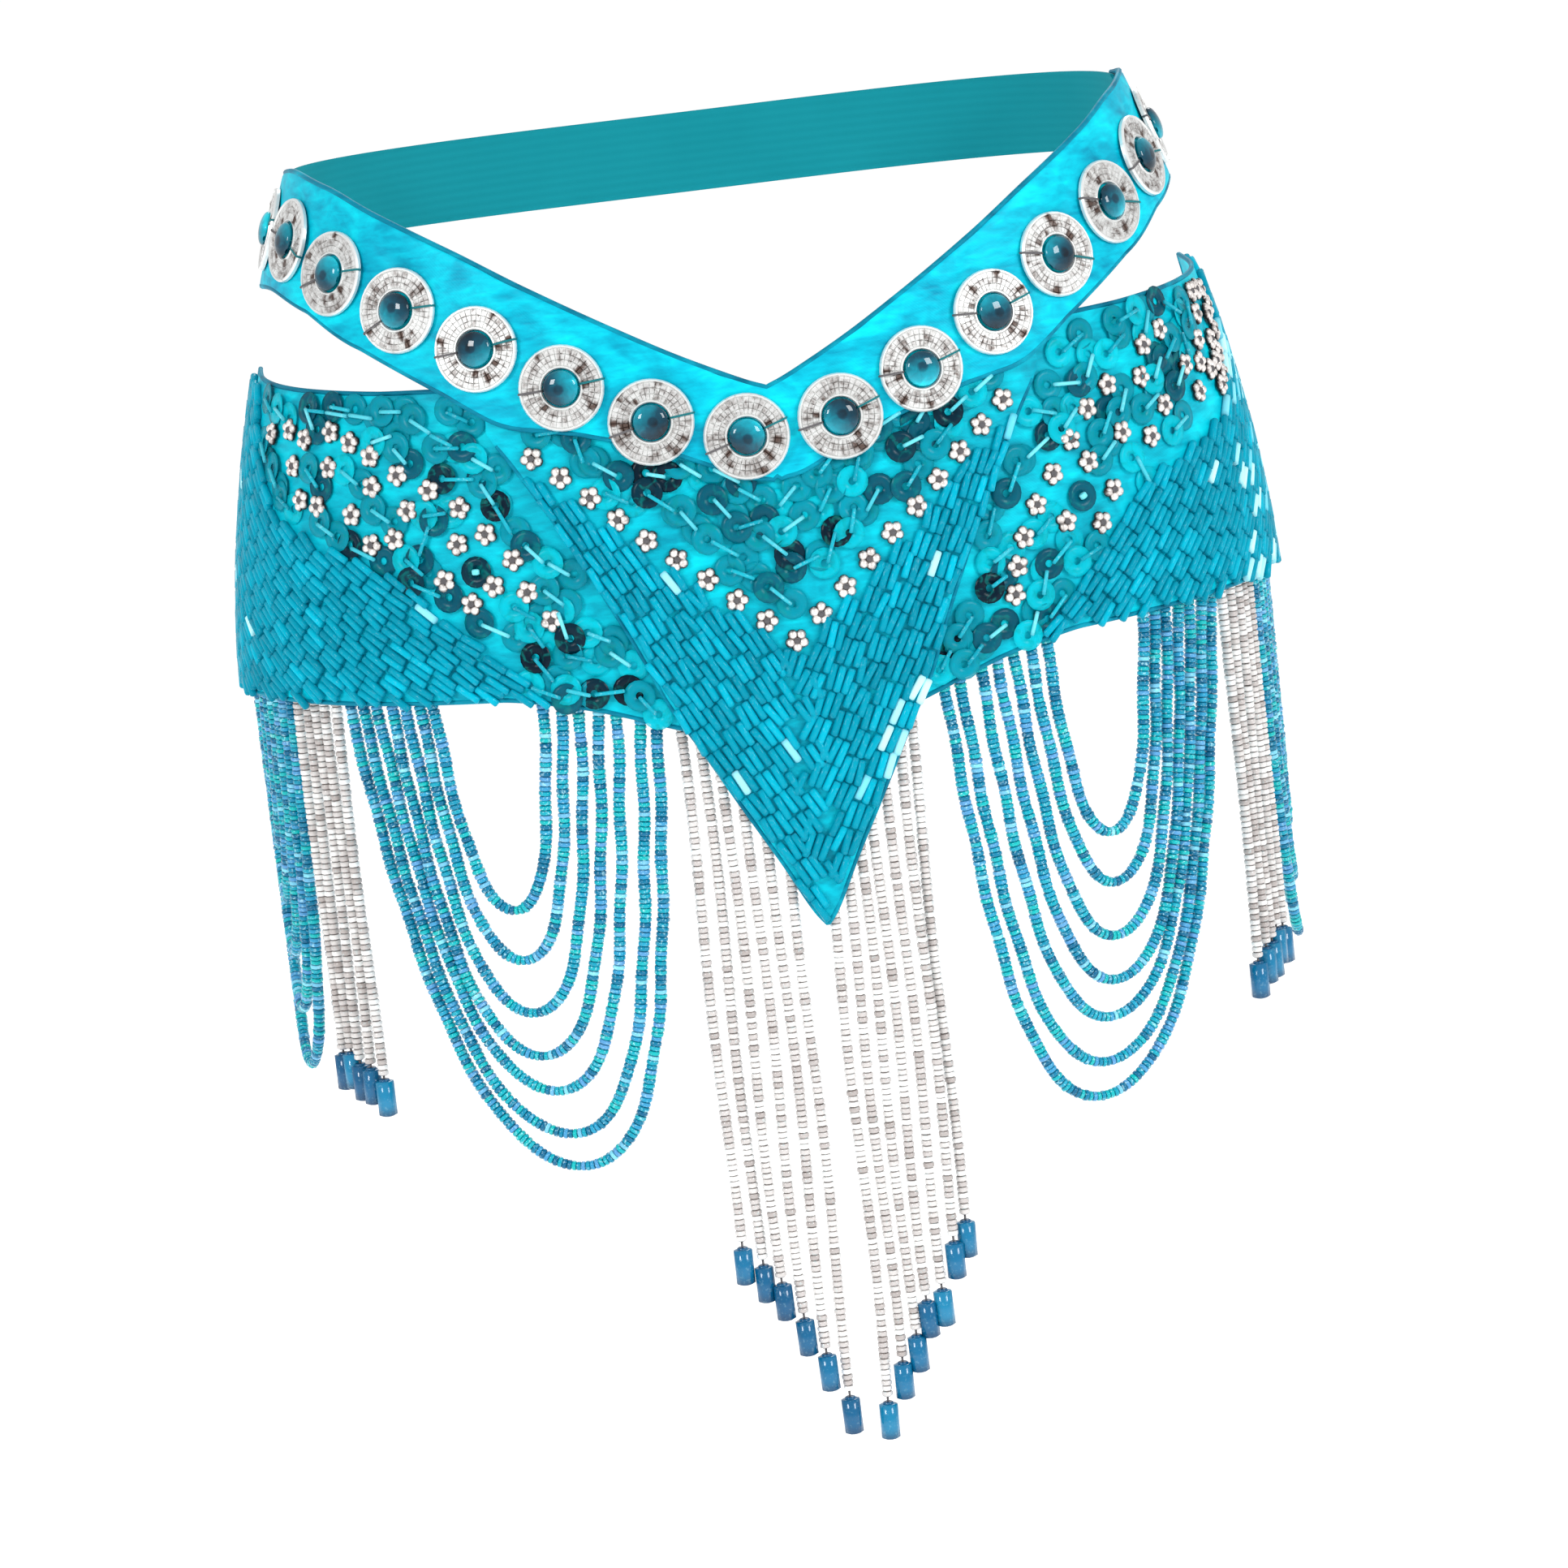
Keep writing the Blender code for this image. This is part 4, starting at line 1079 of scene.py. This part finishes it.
def sew_bugles(gather, pattern, places, headings, surface, dice):
    """Bugles lying on the cloth, a few of them given pale tints as painted glints, most of all at the far
    right.
    """
    arcs, heights = places.T
    out = surface + BUGLE_RADIUS * 0.92
    axes = headed_axes(arcs, heights, surface, headings)
    points = cloth_points(arcs, heights, out) + axes[..., 2] * dice.normal(0, 0.00008, len(arcs))[:, None]
    from_edge = point_edge_arc(heights) - arcs
    edged = (arcs > 0.009) & (from_edge > 0.0) & (from_edge < 0.013)
    glint_chance = np.where(arcs > 0.182, 0.26, np.where(edged, 0.20, 0.010))
    patches = 0.5 + 0.5 * ripple(arcs, heights, 1.0)
    plain = dice.beta(2.0, 2.6, len(arcs)) * 0.60 + np.clip(patches, 0.0, 1.0) * 0.22
    # Painted glints: the chosen bugles take pale tints near the white top of the ramp.
    tints = np.where(dice.uniform(0, 1, len(arcs)) < glint_chance, dice.uniform(0.82, 0.97, len(arcs)), plain)
    gather.strew(pattern, points, axes, tints)


def sew_pairs(rings, needles, patterns, pairs, surface, dice):
    """Overlapping ring sequins, each pair held down by a pale bugle from hole to hole."""
    ring, needle, stopper = patterns
    for number, pair in enumerate(pairs):
        ends = np.array([[pair.arc, pair.height], [pair.other_arc, pair.other_height]])
        middle, way = ends.mean(axis=0), ends[1] - ends[0]
        heading, span = math.atan2(*way[::-1]), float(np.linalg.norm(way))
        lifts = surface + np.array([0.00065, 0.00015]) + 0.00028 * (number % 3)
        axes = headed_axes(*ends.T, surface, [heading, heading])
        tip = dice.normal(0, 0.05, 2)
        for k, lean in enumerate((-0.06, 0.03 + tip[1] * 0.3)):
            axes[k] = axes[k] @ np.array(Matrix.Rotation(lean, 3, "Y"))
        tints = np.clip(np.array([TINTS[pair.shade], TINTS[pair.other_shade]]) + tip * 0.6, 0, 1)
        if span < LONE_RING_SPAN:
            place = cloth_points(*middle, surface + 0.0006)
            rings.strew(ring, [place], axes[:1], tints[:1])
            needles.strew(stopper, [place + axes[0][:, 2] * 0.0010], axes[:1], [1.0])
            continue
        rings.strew(ring, cloth_points(*ends.T, lifts), axes, tints)
        count = max(1, round(span / NEEDLE_SPAN))
        length = min(span / count / NEEDLE_LENGTH, 1.15)
        for n in range(count):
            place = middle + way * ((n + 0.5) / count - 0.5)
            own = headed_axes(*place, surface, heading + dice.normal(0, 0.05)) * np.array([length, 1.0, 1.0])
            point = cloth_points(*place, lifts[0] + 0.0005 + NEEDLE_RADIUS)
            needles.strew(needle, [point], [own], [dice.uniform(0.1, 1.0)])


def spare_pairs(region, pairs, studs, bounds, dice):
    """More sequin pairs, in places that the region leaves between those already taken."""
    (low_arc, high_arc), (low, high) = bounds
    centres = [np.array([(p.arc + p.other_arc) / 2, (p.height + p.other_height) / 2]) for p in pairs]
    found = []
    for _ in range(SPARE_TRIES):
        place = np.array([dice.uniform(low_arc, high_arc), dice.uniform(low, high)])
        heading = (-0.6 if place[0] < 0 else 0.8) + dice.normal(0, 0.35)
        way = np.array([math.cos(heading), math.sin(heading)]) * HALF_PAIR
        first, second = place - way, place + way
        near_pair = any(np.linalg.norm(place - other) < PAIR_SPACING for other in centres)
        near_stud = any(np.linalg.norm(place - np.array(stud)) < STUD_SPACING for stud in studs)
        if near_pair or near_stud or not (region(*first) and region(*second)):
            continue
        centres.append(place)
        found.append(Pair(*first, *second, *dice.choice(["deep", "sea", "aqua"], 2, p=[0.12, 0.52, 0.36])))
    return found


def point_ground(arcs, heights):
    near = np.abs(arcs)
    above = heights > through_rows(STUD_LINE, near) + 0.0055
    return above & (heights < band_foot(near) + 0.0010) & (near < 0.085)


def wing_ground(side):
    def holds(arcs, heights):
        near = side * arcs
        above = heights > through_rows(WING_BEAD_LINE, near) + 0.0025
        inside = (heights < wing_top(near) - 0.0045) & (heights > wing_hem(near) + 0.0040)
        clear = heights < band_foot(near) - 0.0005
        return (near > point_edge_arc(heights) + 0.0045) & (near < 0.207) & above & inside & clear

    return holds


def sew_studs(studs, petals, eye, surface, dice, gather):
    arcs, heights = np.array(studs).T
    arcs = arcs + dice.normal(0, 0.0002, len(studs))
    axes = headed_axes(arcs, heights, surface, dice.uniform(0, 2 * math.pi, len(studs)))
    points = cloth_points(arcs, heights, surface + 0.0006)
    tints = dice.uniform(0, 1, len(studs))
    gather.strew(petals, points, axes, tints, 0)
    gather.strew(eye, points, axes, tints, 1)


def stud_line_places():
    """Studs at even steps down the two lines of the point, one shared at their foot."""
    arcs = np.linspace(0.0, STUD_LINE[-1].arc, 400)
    walked = walk(np.stack([arcs, through_rows(STUD_LINE, arcs)], axis=-1))
    steps = np.interp(np.arange(int(walked[-1] / STUD_PITCH) + 1) * STUD_PITCH, walked, arcs)
    studs = [Stud(way * arc, float(through_rows(STUD_LINE, arc))) for arc in steps for way in (1, -1)]
    return [studs[0], *studs[2:]]


def make_beadwork(finishes):
    dice = np.random.default_rng(7)
    bugle = Pattern(barrel_bead(BUGLE_LENGTH, BUGLE_RADIUS, 0.00045, 0.00042))
    needle = Pattern(barrel_bead(NEEDLE_LENGTH, NEEDLE_RADIUS, 0.0003, 0.00028, 7))
    stopper = Pattern(barrel_bead(0.0022, 0.0015, 0.0004, 0.0005))
    ring = Pattern(ring_sequin(SEQUIN_RADIUS, SEQUIN_HOLE, SEQUIN_FILM, SEQUIN_CUP))
    petals, eye = (Pattern(part, low_ends=True) for part in flower_stud(STUD_RADIUS, STUD_HEIGHT))

    def fields(*rows):
        return [(region, math.radians(degrees)) for region, degrees in rows]

    jobs = [
        (
            "point", CENTRE_PAIRS, stud_line_places(), POINT_OUT + PANEL_WALL, point_ground,
            ((-0.09, 0.09), (-0.19, -0.09)),
            fields((point_arm(-1), -62.0), (point_arm(1), 62.0)), ((-0.1, 0.1), (-0.29, -0.09)),
        ),
        (
            "left_wing", LEFT_PAIRS, LEFT_STUDS, WING_OUT + PANEL_WALL, wing_ground(-1),
            ((-0.21, -0.04), (-0.21, -0.07)),
            fields((wing_beads(-1), -37.0)), ((-0.29, -0.04), (-0.215, -0.07)),
        ),
        (
            "right_wing", RIGHT_PAIRS, RIGHT_STUDS, WING_OUT + PANEL_WALL, wing_ground(1),
            ((0.04, 0.21), (-0.21, -0.07)),
            fields((wing_beads(1), 45.0)), ((0.04, 0.29), (-0.215, -0.07)),
        ),
    ]
    for name, pairs, studs, surface, ground, bounds, regions, area in jobs:
        bugles, rings, needles, flowers = (Gather() for _ in range(4))
        for region, heading in regions:
            places, headings = bugle_places(region, heading, area, dice)
            sew_bugles(bugles, bugle, places, headings, surface, dice)
        bugles.finish(f"{name}_bugles", finishes["bugle"])
        more = spare_pairs(ground, pairs, studs, bounds, dice)
        sew_pairs(rings, needles, (ring, needle, stopper), [*pairs, *more], surface, dice)
        sew_studs(studs, petals, eye, surface, dice, flowers)
        rings.finish(f"{name}_sequins", finishes["sequin"])
        needles.finish(f"{name}_sequin_bugles", finishes["needle"])
        flowers.finish(f"{name}_flower_studs", finishes["stud"], finishes["dark"])


# Coins


def coin_seat(arc, height, radius, inner):
    """Place and outward direction of a flat ring or disc that just clears the band it is sewn to."""
    middle = cloth_points(arc, height, BAND_FACE)
    normal = cloth_axes(arc, height, BAND_FACE)[2]
    angles = 2 * math.pi * np.arange(16)[:, None] / 16
    reach = np.array([inner, (inner + radius) / 2, radius])[None, :]
    around = cloth_points(arc + reach * np.cos(angles), height + reach * np.sin(angles), BAND_FACE)
    return middle + normal * (((around - middle) @ normal).max() + SEAM_GAP), normal


def coin_row(arcs):
    return band_top(arcs) - through_rows(COIN_ROW, np.abs(arcs))


def coin_places():
    """Arc and height of each coin, at even steps along the row, either way from the one by the V."""
    places = [COIN_ROW_SHIFT]
    for way in (-1, 1):
        arcs = COIN_ROW_SHIFT + way * np.arange(0.0, 0.30, MM / 4)
        walked = walk(cloth_points(arcs, coin_row(arcs), BAND_FACE))
        places += [arcs[np.searchsorted(walked, n * COIN_PITCH)] for n in range(1, COIN_COUNT // 2 + 1)]
    arcs = np.array(sorted(places))
    return list(zip(arcs, coin_row(arcs)))


def set_copy(part, name, seat, turn, finish, dice):
    """A copy of a part, turned about its own axis and set on the band, with a tint of its own."""
    place, normal = seat
    mesh = part.data.copy()
    stand = Vector(normal).to_track_quat("Z", "Y").to_matrix().to_4x4()
    mesh.transform(Matrix.Translation(Vector(place)) @ stand @ Matrix.Rotation(turn, 4, "Z"))
    mesh.materials.clear()
    add_values(mesh, "tint", np.full(len(mesh.vertices), dice.uniform(0.1, 0.9)))
    return make_piece(name, mesh, finish)


def make_coins(finishes):
    dice = np.random.default_rng(11)
    coin, bead = stamped_coin(), round_bead()
    backing = Pattern(ring_sequin(COIN_HOLE_RADIUS - 0.0003, 0.0042, 0.00015, 0.00008))
    coin_points, bead_points = mesh_points(coin.data), mesh_points(bead.data)
    for number, (arc, height) in enumerate(coin_places(), start=1):
        turn = float(dice.uniform(-0.25, 0.25))
        seat = coin_seat(arc, height, COIN_RADIUS, COIN_HOLE_RADIUS)
        piece = set_copy(coin, f"stamped_coin_{number:02d}", seat, turn, finishes["coin"], dice)
        add_values(piece.data, "hollow", pitted_points(coin_points, dice))
        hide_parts(f"coin_{number:02d}")
        seat = coin_seat(arc, height, COIN_BEAD_SEAT, 0.0)
        piece = set_copy(bead, f"round_bead_{number:02d}", seat, turn * 3, finishes["round"], dice)
        angle = float(dice.uniform(0, 2 * math.pi))
        side, rise = math.cos(angle) / COIN_BEAD_RADIUS, math.sin(angle) / COIN_BEAD_RADIUS
        add_values(piece.data, "side", bead_points[:, :2] @ (side, rise))
        add_values(piece.data, "rise", bead_points[:, :2] @ (-rise, side))
        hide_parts(f"coin_bead_{number:02d}")
    bpy.data.objects.remove(coin)
    bpy.data.objects.remove(bead)
    make_coin_stitches(finishes, backing, dice)


def pitted_points(places, dice):
    """Near 1 in a few dark pits of the stamped rows, 0.3 in the grooves, and 0 on the rims."""
    half = (COIN_RADIUS - COIN_HOLE_RADIUS) / 2
    x, y, z = places.T
    top = z > COIN_THICKNESS * 0.3
    values = np.where((np.abs(np.hypot(x, y) - COIN_MIDDLE) < half * 0.72) & top, 0.30, 0.0)
    for angle in dice.uniform(-math.pi, math.pi, 9):
        spoke = COIN_MIDDLE + half * dice.choice([-0.5, 0.0, 0.5], p=[0.45, 0.20, 0.35])
        apart = np.hypot(x - spoke * math.cos(angle), y - spoke * math.sin(angle))
        pit = np.clip(1.5 - apart / dice.uniform(1.15 * MM, 1.7 * MM), 0.0, 1.0) * dice.uniform(0.75, 1.0)
        values = np.where(top, np.maximum(values, pit), values)
    return values


def make_coin_stitches(finishes, backing, dice):
    """Threads over each coin's left and right, and a small teal disc behind each round bead."""
    threads, discs = Gather(), Gather()
    spots = [
        (COIN_HOLE_RADIUS - 0.0004, 0.0002),
        (COIN_HOLE_RADIUS + 0.0002, COIN_THICKNESS + 0.0001),
        (COIN_HOLE_RADIUS + 0.0020, COIN_THICKNESS + 0.0003),
        (COIN_RADIUS - 0.0016, COIN_THICKNESS + 0.0003),
        (COIN_RADIUS, COIN_THICKNESS + 0.0001),
        (COIN_RADIUS + 0.0004, 0.0001),
    ]
    for arc, height in coin_places():
        place, normal = coin_seat(arc, height, COIN_RADIUS, COIN_HOLE_RADIUS)
        along = cloth_axes(arc, height, BAND_FACE)[0]
        along = unit(along - normal * along.dot(normal))
        upward = np.cross(normal, along)
        for way in (-1, 1):
            lean = dice.normal(0.0, 0.20)
            ahead = along * way * math.cos(lean) + upward * math.sin(lean)
            for aside in (-STITCH_APART, STITCH_APART):
                path = [place + ahead * spoke + normal * lift + upward * aside for spoke, lift in spots]
                threads.tube(path, STITCH_RADIUS, 6, slot=int(way > 0))
        seat, normal = coin_seat(arc, height, COIN_HOLE_RADIUS, 0.0)
        axes = np.stack([along, np.cross(normal, along), normal], axis=-1)
        discs.strew(backing, [seat - normal * 0.0001], [axes], [dice.uniform(0.92, 1.0)])
        for ahead in (-along, along):
            root = seat + ahead * (COIN_BEAD_RADIUS + 0.0003)
            tip = seat + ahead * (COIN_BEAD_RADIUS - 0.0003) + normal * COIN_BEAD_HEIGHT * 0.5
            threads.tube([root, (root + tip) / 2 + ahead * 0.0001, tip], 0.00018, 6, slot=1)
    threads.finish("coin_stitches", finishes["dark"], finishes["teal"])
    discs.finish("coin_backing_discs", finishes["sequin"])


# Strands

SEED_PITCH, SILVER_PITCH, THREAD_RADIUS, BARE_THREAD_RADIUS = 0.0018, 0.0021, 0.0004, 0.00045
WOBBLE, FLAT_SLENDER = 0.00035, 0.22


def chain_size(half, sag):
    low, high = half / 30, 50 * half
    for _ in range(60):
        size = math.sqrt(low * high)
        if size * (math.cosh(half / size) - 1) > sag:
            low = size
        else:
            high = size
    return size


def swag_curve(row, hem, steps):
    """Arcs and heights of a hanging chain between two places on a hem."""
    middle, half = (row.near_arc + row.far_arc) / 2, (row.far_arc - row.near_arc) / 2
    near, far = float(hem(row.near_arc)), float(hem(row.far_arc))
    size = chain_size(half, (near + far) / 2 - row.lowest)
    half_length = size * math.sinh(half / size)
    offset = size * np.arcsinh(np.linspace(-half_length, half_length, steps + 1) / size)
    across = offset / half
    lean = (row.low_arc - middle) * (1 - across**2)
    height = row.lowest + size * (np.cosh(offset / size) - 1) + (far - near) / 2 * across
    return middle + offset + lean, height


def string_beads(gather, pattern, path, pitch, dice, slender=0.0):
    """Beads strung close along a path of points, on a thread, more slender by a share where it lies flat."""
    walked = walk(path)
    count = int(walked[-1] / pitch)
    places = (np.arange(count) + 0.5) * walked[-1] / count
    points, before, after = (
        np.stack([np.interp(places + shift, walked, path[:, k]) for k in range(3)], axis=-1)
        for shift in (0.0, -pitch / 2, pitch / 2)
    )
    ahead = unit(after - before + dice.normal(0, pitch * 0.03, (count, 3)))
    axes = frame_along(ahead, dice.normal(0, 1, (count, 3)))
    girths = dice.normal(1.0, 0.035, count) * (1 - slender * (1 - np.abs(ahead[:, 2])))
    sizes = np.stack([np.ones(count), girths, girths], axis=-1)
    gather.strew(pattern, points, axes * sizes[:, None, :], dice.uniform(0, 1, count), 0)
    gather.tube(path[:: max(1, len(path) // 60)], THREAD_RADIUS, 5, 1)


def behind_wing(radius):
    return WING_OUT - HANG_GAP - radius


def add_strip(gather, arcs, edge, height, outs, slot):
    """The narrow woven strip that strands hang from, as a closed wall."""
    low, high = edge + STRIP_ABOVE_HEM, edge + STRIP_ABOVE_HEM + height
    corners = [(low, outs), (low, outs + STRIP_WALL), (high, outs + STRIP_WALL), (high, outs)]
    points = np.stack([cloth_points(arcs, level, out) for level, out in corners], axis=1).reshape(-1, 3)
    last = (len(arcs) - 1) * 4 + np.arange(4)
    faces = np.concatenate([ring_quads(len(arcs), 4), np.arange(4)[::-1], last]).reshape(-1, 4)
    if arcs[0] > arcs[-1]:
        faces = faces[:, ::-1]
    gather.add(points, faces.ravel(), np.full(len(faces), 4), np.zeros(len(faces), bool), 0.5, 0.0, slot)


def hem_strip(gather, side, first, last, slot):
    arcs = np.linspace(first - STRIP_END, last + STRIP_END, 40)
    add_strip(gather, side * arcs, wing_hem(arcs), STRIP_HEIGHT, behind_wing(STRIP_WALL), slot)


def finish_strands(gather, name, node, slot, *finishes):
    piece = gather.finish(name, *finishes)
    add_cut(piece.data, mesh_points(piece.data)[:, [0, 2]])
    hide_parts(node)


def make_swags(name, node, side, rows, bead, finishes, dice):
    gather = Gather()
    for row in rows:
        arcs, heights = swag_curve(row, lambda arc: wing_hem(arc) + STRAND_ROOT, 400)
        wobble = WOBBLE * np.sin(heights * 160 + row.low_arc * 3000 + side)
        path = cloth_points(side * (arcs + wobble), heights, behind_wing(BLUE_STRAND_RADIUS))
        string_beads(gather, bead, path, SEED_PITCH, dice, FLAT_SLENDER)
    hem_strip(gather, side, min(row.near_arc for row in rows), max(row.far_arc for row in rows), 2)
    finish_strands(gather, name, node, "blue_beads", *(finishes[key] for key in ("seed", "teal", "piping")))


def silver_strand(gather, patterns, arc, root, tip, out, dice):
    """A straight strand of silver-lined beads, a bare stretch of thread and a deep blue drop."""
    drop_top = tip + DROP_LENGTH
    heights = np.linspace(root, drop_top, 120)
    drift = STRAND_SWAY * np.sin(SWAY_RATE * (root - heights) + SWAY_SPREAD * arc)
    path = cloth_points(arc + drift, heights, out)
    strung = heights > drop_top + BARE_THREAD
    string_beads(gather, patterns["silver"], path[strung], SILVER_PITCH, dice)
    gather.tube(np.linspace(path[strung][-1], path[-1], 3), BARE_THREAD_RADIUS, 5, 1)
    ahead = unit(path[-1] - path[-4])
    axes = frame_along(ahead, (0.3, 1.0, 0.1))
    gather.strew(patterns["drop"], [path[-1]], [axes], [dice.uniform(0, 1)], 2)
    gather.strew(patterns["collar"], [path[-1] - ahead * 0.0004], [unit(axes)], [0.1], 2)


def silver_finishes(finishes):
    return [finishes[key] for key in ("silver_seed", "dark", "drop", "piping")]


def make_side_fringe(name, node, side, patterns, finishes, dice):
    gather = Gather()
    for row in SIDE_FRINGE:
        root = float(wing_hem(row.arc)) + STRAND_ROOT
        out = behind_wing(SILVER_STRAND_RADIUS)
        silver_strand(gather, patterns, side * row.arc, root, row.tip, out, dice)
    hem_strip(gather, side, SIDE_FRINGE[0].arc, SIDE_FRINGE[-1].arc, 3)
    finish_strands(gather, name, node, "silver_beads", *silver_finishes(finishes))


def centre_strip_out(arcs):
    near, far = POINT_OUT - SEAM_GAP - STRIP_WALL, WING_OUT - HANG_GAP - STRIP_WALL
    part = np.clip((np.abs(arcs) - STEP_BACK_FROM) / (STEP_BACK_TO - STEP_BACK_FROM), 0.0, 1.0)
    return near + (far - near) * part


def make_centre_fringe(patterns, finishes, dice):
    gather = Gather()
    for row in CENTRE_FRINGE:
        out = float(centre_strip_out(row.arc)) + STRIP_WALL - SILVER_STRAND_RADIUS
        silver_strand(gather, patterns, row.arc, float(point_edge(row.arc)) + STRAND_ROOT, row.tip, out, dice)
    arcs = np.linspace(CENTRE_FRINGE[0].arc - STRIP_END, CENTRE_FRINGE[-1].arc + STRIP_END, 60)
    add_strip(gather, arcs, point_edge(arcs), CENTRE_STRIP_HEIGHT, centre_strip_out(arcs), 3)
    own = silver_finishes(finishes)
    finish_strands(gather, "centre_silver_fringe", "centre_fringe", "silver_beads", *own)


def make_strands(finishes):
    dice = np.random.default_rng(23)
    seed = Pattern(barrel_bead(SEED_PITCH * 0.98, 0.00232, 0.00038, 0.00046))
    patterns = {
        "silver": Pattern(barrel_bead(SILVER_PITCH, 0.00208, 0.00042, 0.00052)),
        "drop": Pattern(drop_bead()),
        "collar": Pattern(barrel_bead(0.0014, 0.0021, 0.0003, 0.0004, 10)),
    }
    for side, name in ((-1, "left"), (1, "right")):
        make_swags(f"{name}_front_swags", f"front_swags_{name}", side, FRONT_SWAGS, seed, finishes, dice)
        make_swags(f"{name}_side_swags", f"side_swags_{name}", side, SIDE_SWAGS, seed, finishes, dice)
        make_side_fringe(f"{name}_silver_fringe", f"side_fringe_{name}", side, patterns, finishes, dice)
    make_centre_fringe(patterns, finishes, dice)


# Studio


def sight_axes(ahead):
    """Right and up, seen along 'ahead' with a level camera."""
    right = ahead.cross(Vector((0, 0, 1))).normalized()
    return right, right.cross(ahead)


def make_camera():
    azimuth, elevation, roll = (math.radians(degrees) for degrees in (-5.1, 5.0, 6.5))
    distance, aim_right, aim_down = 2.4, 0.0016, 0.2555
    flat = math.cos(elevation)
    back = Vector((math.sin(azimuth) * flat, -math.cos(azimuth) * flat, math.sin(elevation)))
    right, up = sight_axes(-back)
    eye = back * distance
    ahead = (right * aim_right - up * aim_down - eye).normalized()
    right, up = sight_axes(ahead)
    level = right * math.cos(roll) - up * math.sin(roll)
    upright = right * math.sin(roll) + up * math.cos(roll)
    data = bpy.data.cameras.new("camera")
    data.lens, data.sensor_width = 145.1, 36.0
    data.clip_start, data.clip_end = 0.05, 60.0
    camera = bpy.data.objects.new("camera", data)
    camera.matrix_world = Matrix.Translation(eye) @ Matrix((level, upright, -ahead)).transposed().to_4x4()
    bpy.context.scene.collection.objects.link(camera)
    bpy.context.scene.camera = camera


def make_light(name, place, size, power):
    """A square lamp that faces the middle of the belt."""
    data = bpy.data.lights.new(name, "AREA")
    data.size, data.energy = size, power
    light = bpy.data.objects.new(name, data)
    turn = (Vector(place) - Vector((0, 0, -0.2))).to_track_quat("Z", "Y")
    light.matrix_world = Matrix.Translation(Vector(place)) @ turn.to_matrix().to_4x4()
    bpy.context.scene.collection.objects.link(light)


def make_studio():
    world = bpy.data.worlds.new("studio")
    world.use_nodes = True
    background = world.node_tree.nodes["Background"]
    background.inputs["Color"].default_value = (1.0, 1.0, 1.0, 1.0)
    background.inputs["Strength"].default_value = 0.72
    bpy.context.scene.world = world
    bpy.context.scene.view_settings.view_transform = "Standard"
    finish = Finish("studio floor", Roughness=0.9)
    finish.shader.inputs["Base Color"].default_value = (0.97, 0.97, 0.97, 1.0)
    finish.shader.inputs["Emission Color"].default_value = (1.0, 1.0, 1.0, 1.0)
    finish.shader.inputs["Emission Strength"].default_value = 0.32
    bpy.ops.mesh.primitive_plane_add(size=40.0, location=(0, 0, -0.9))
    floor = bpy.context.object
    floor.name = "studio_floor"
    floor.data.materials.append(finish.material)
    make_light("key", (-2.0, -1.9, 1.2), 0.75, 33.0)
    make_light("fill", (1.6, -1.7, 0.9), 0.8, 28.0)
    make_light("rim", (0.4, 1.9, 1.2), 1.0, 12.0)


make_camera()
finishes = make_finishes()
make_band(finishes)
make_elastic(finishes)
make_point(finishes)
make_wing(-1, "left", finishes)
make_wing(1, "right", finishes)
make_beadwork(finishes)
make_coins(finishes)
make_strands(finishes)
make_studio()
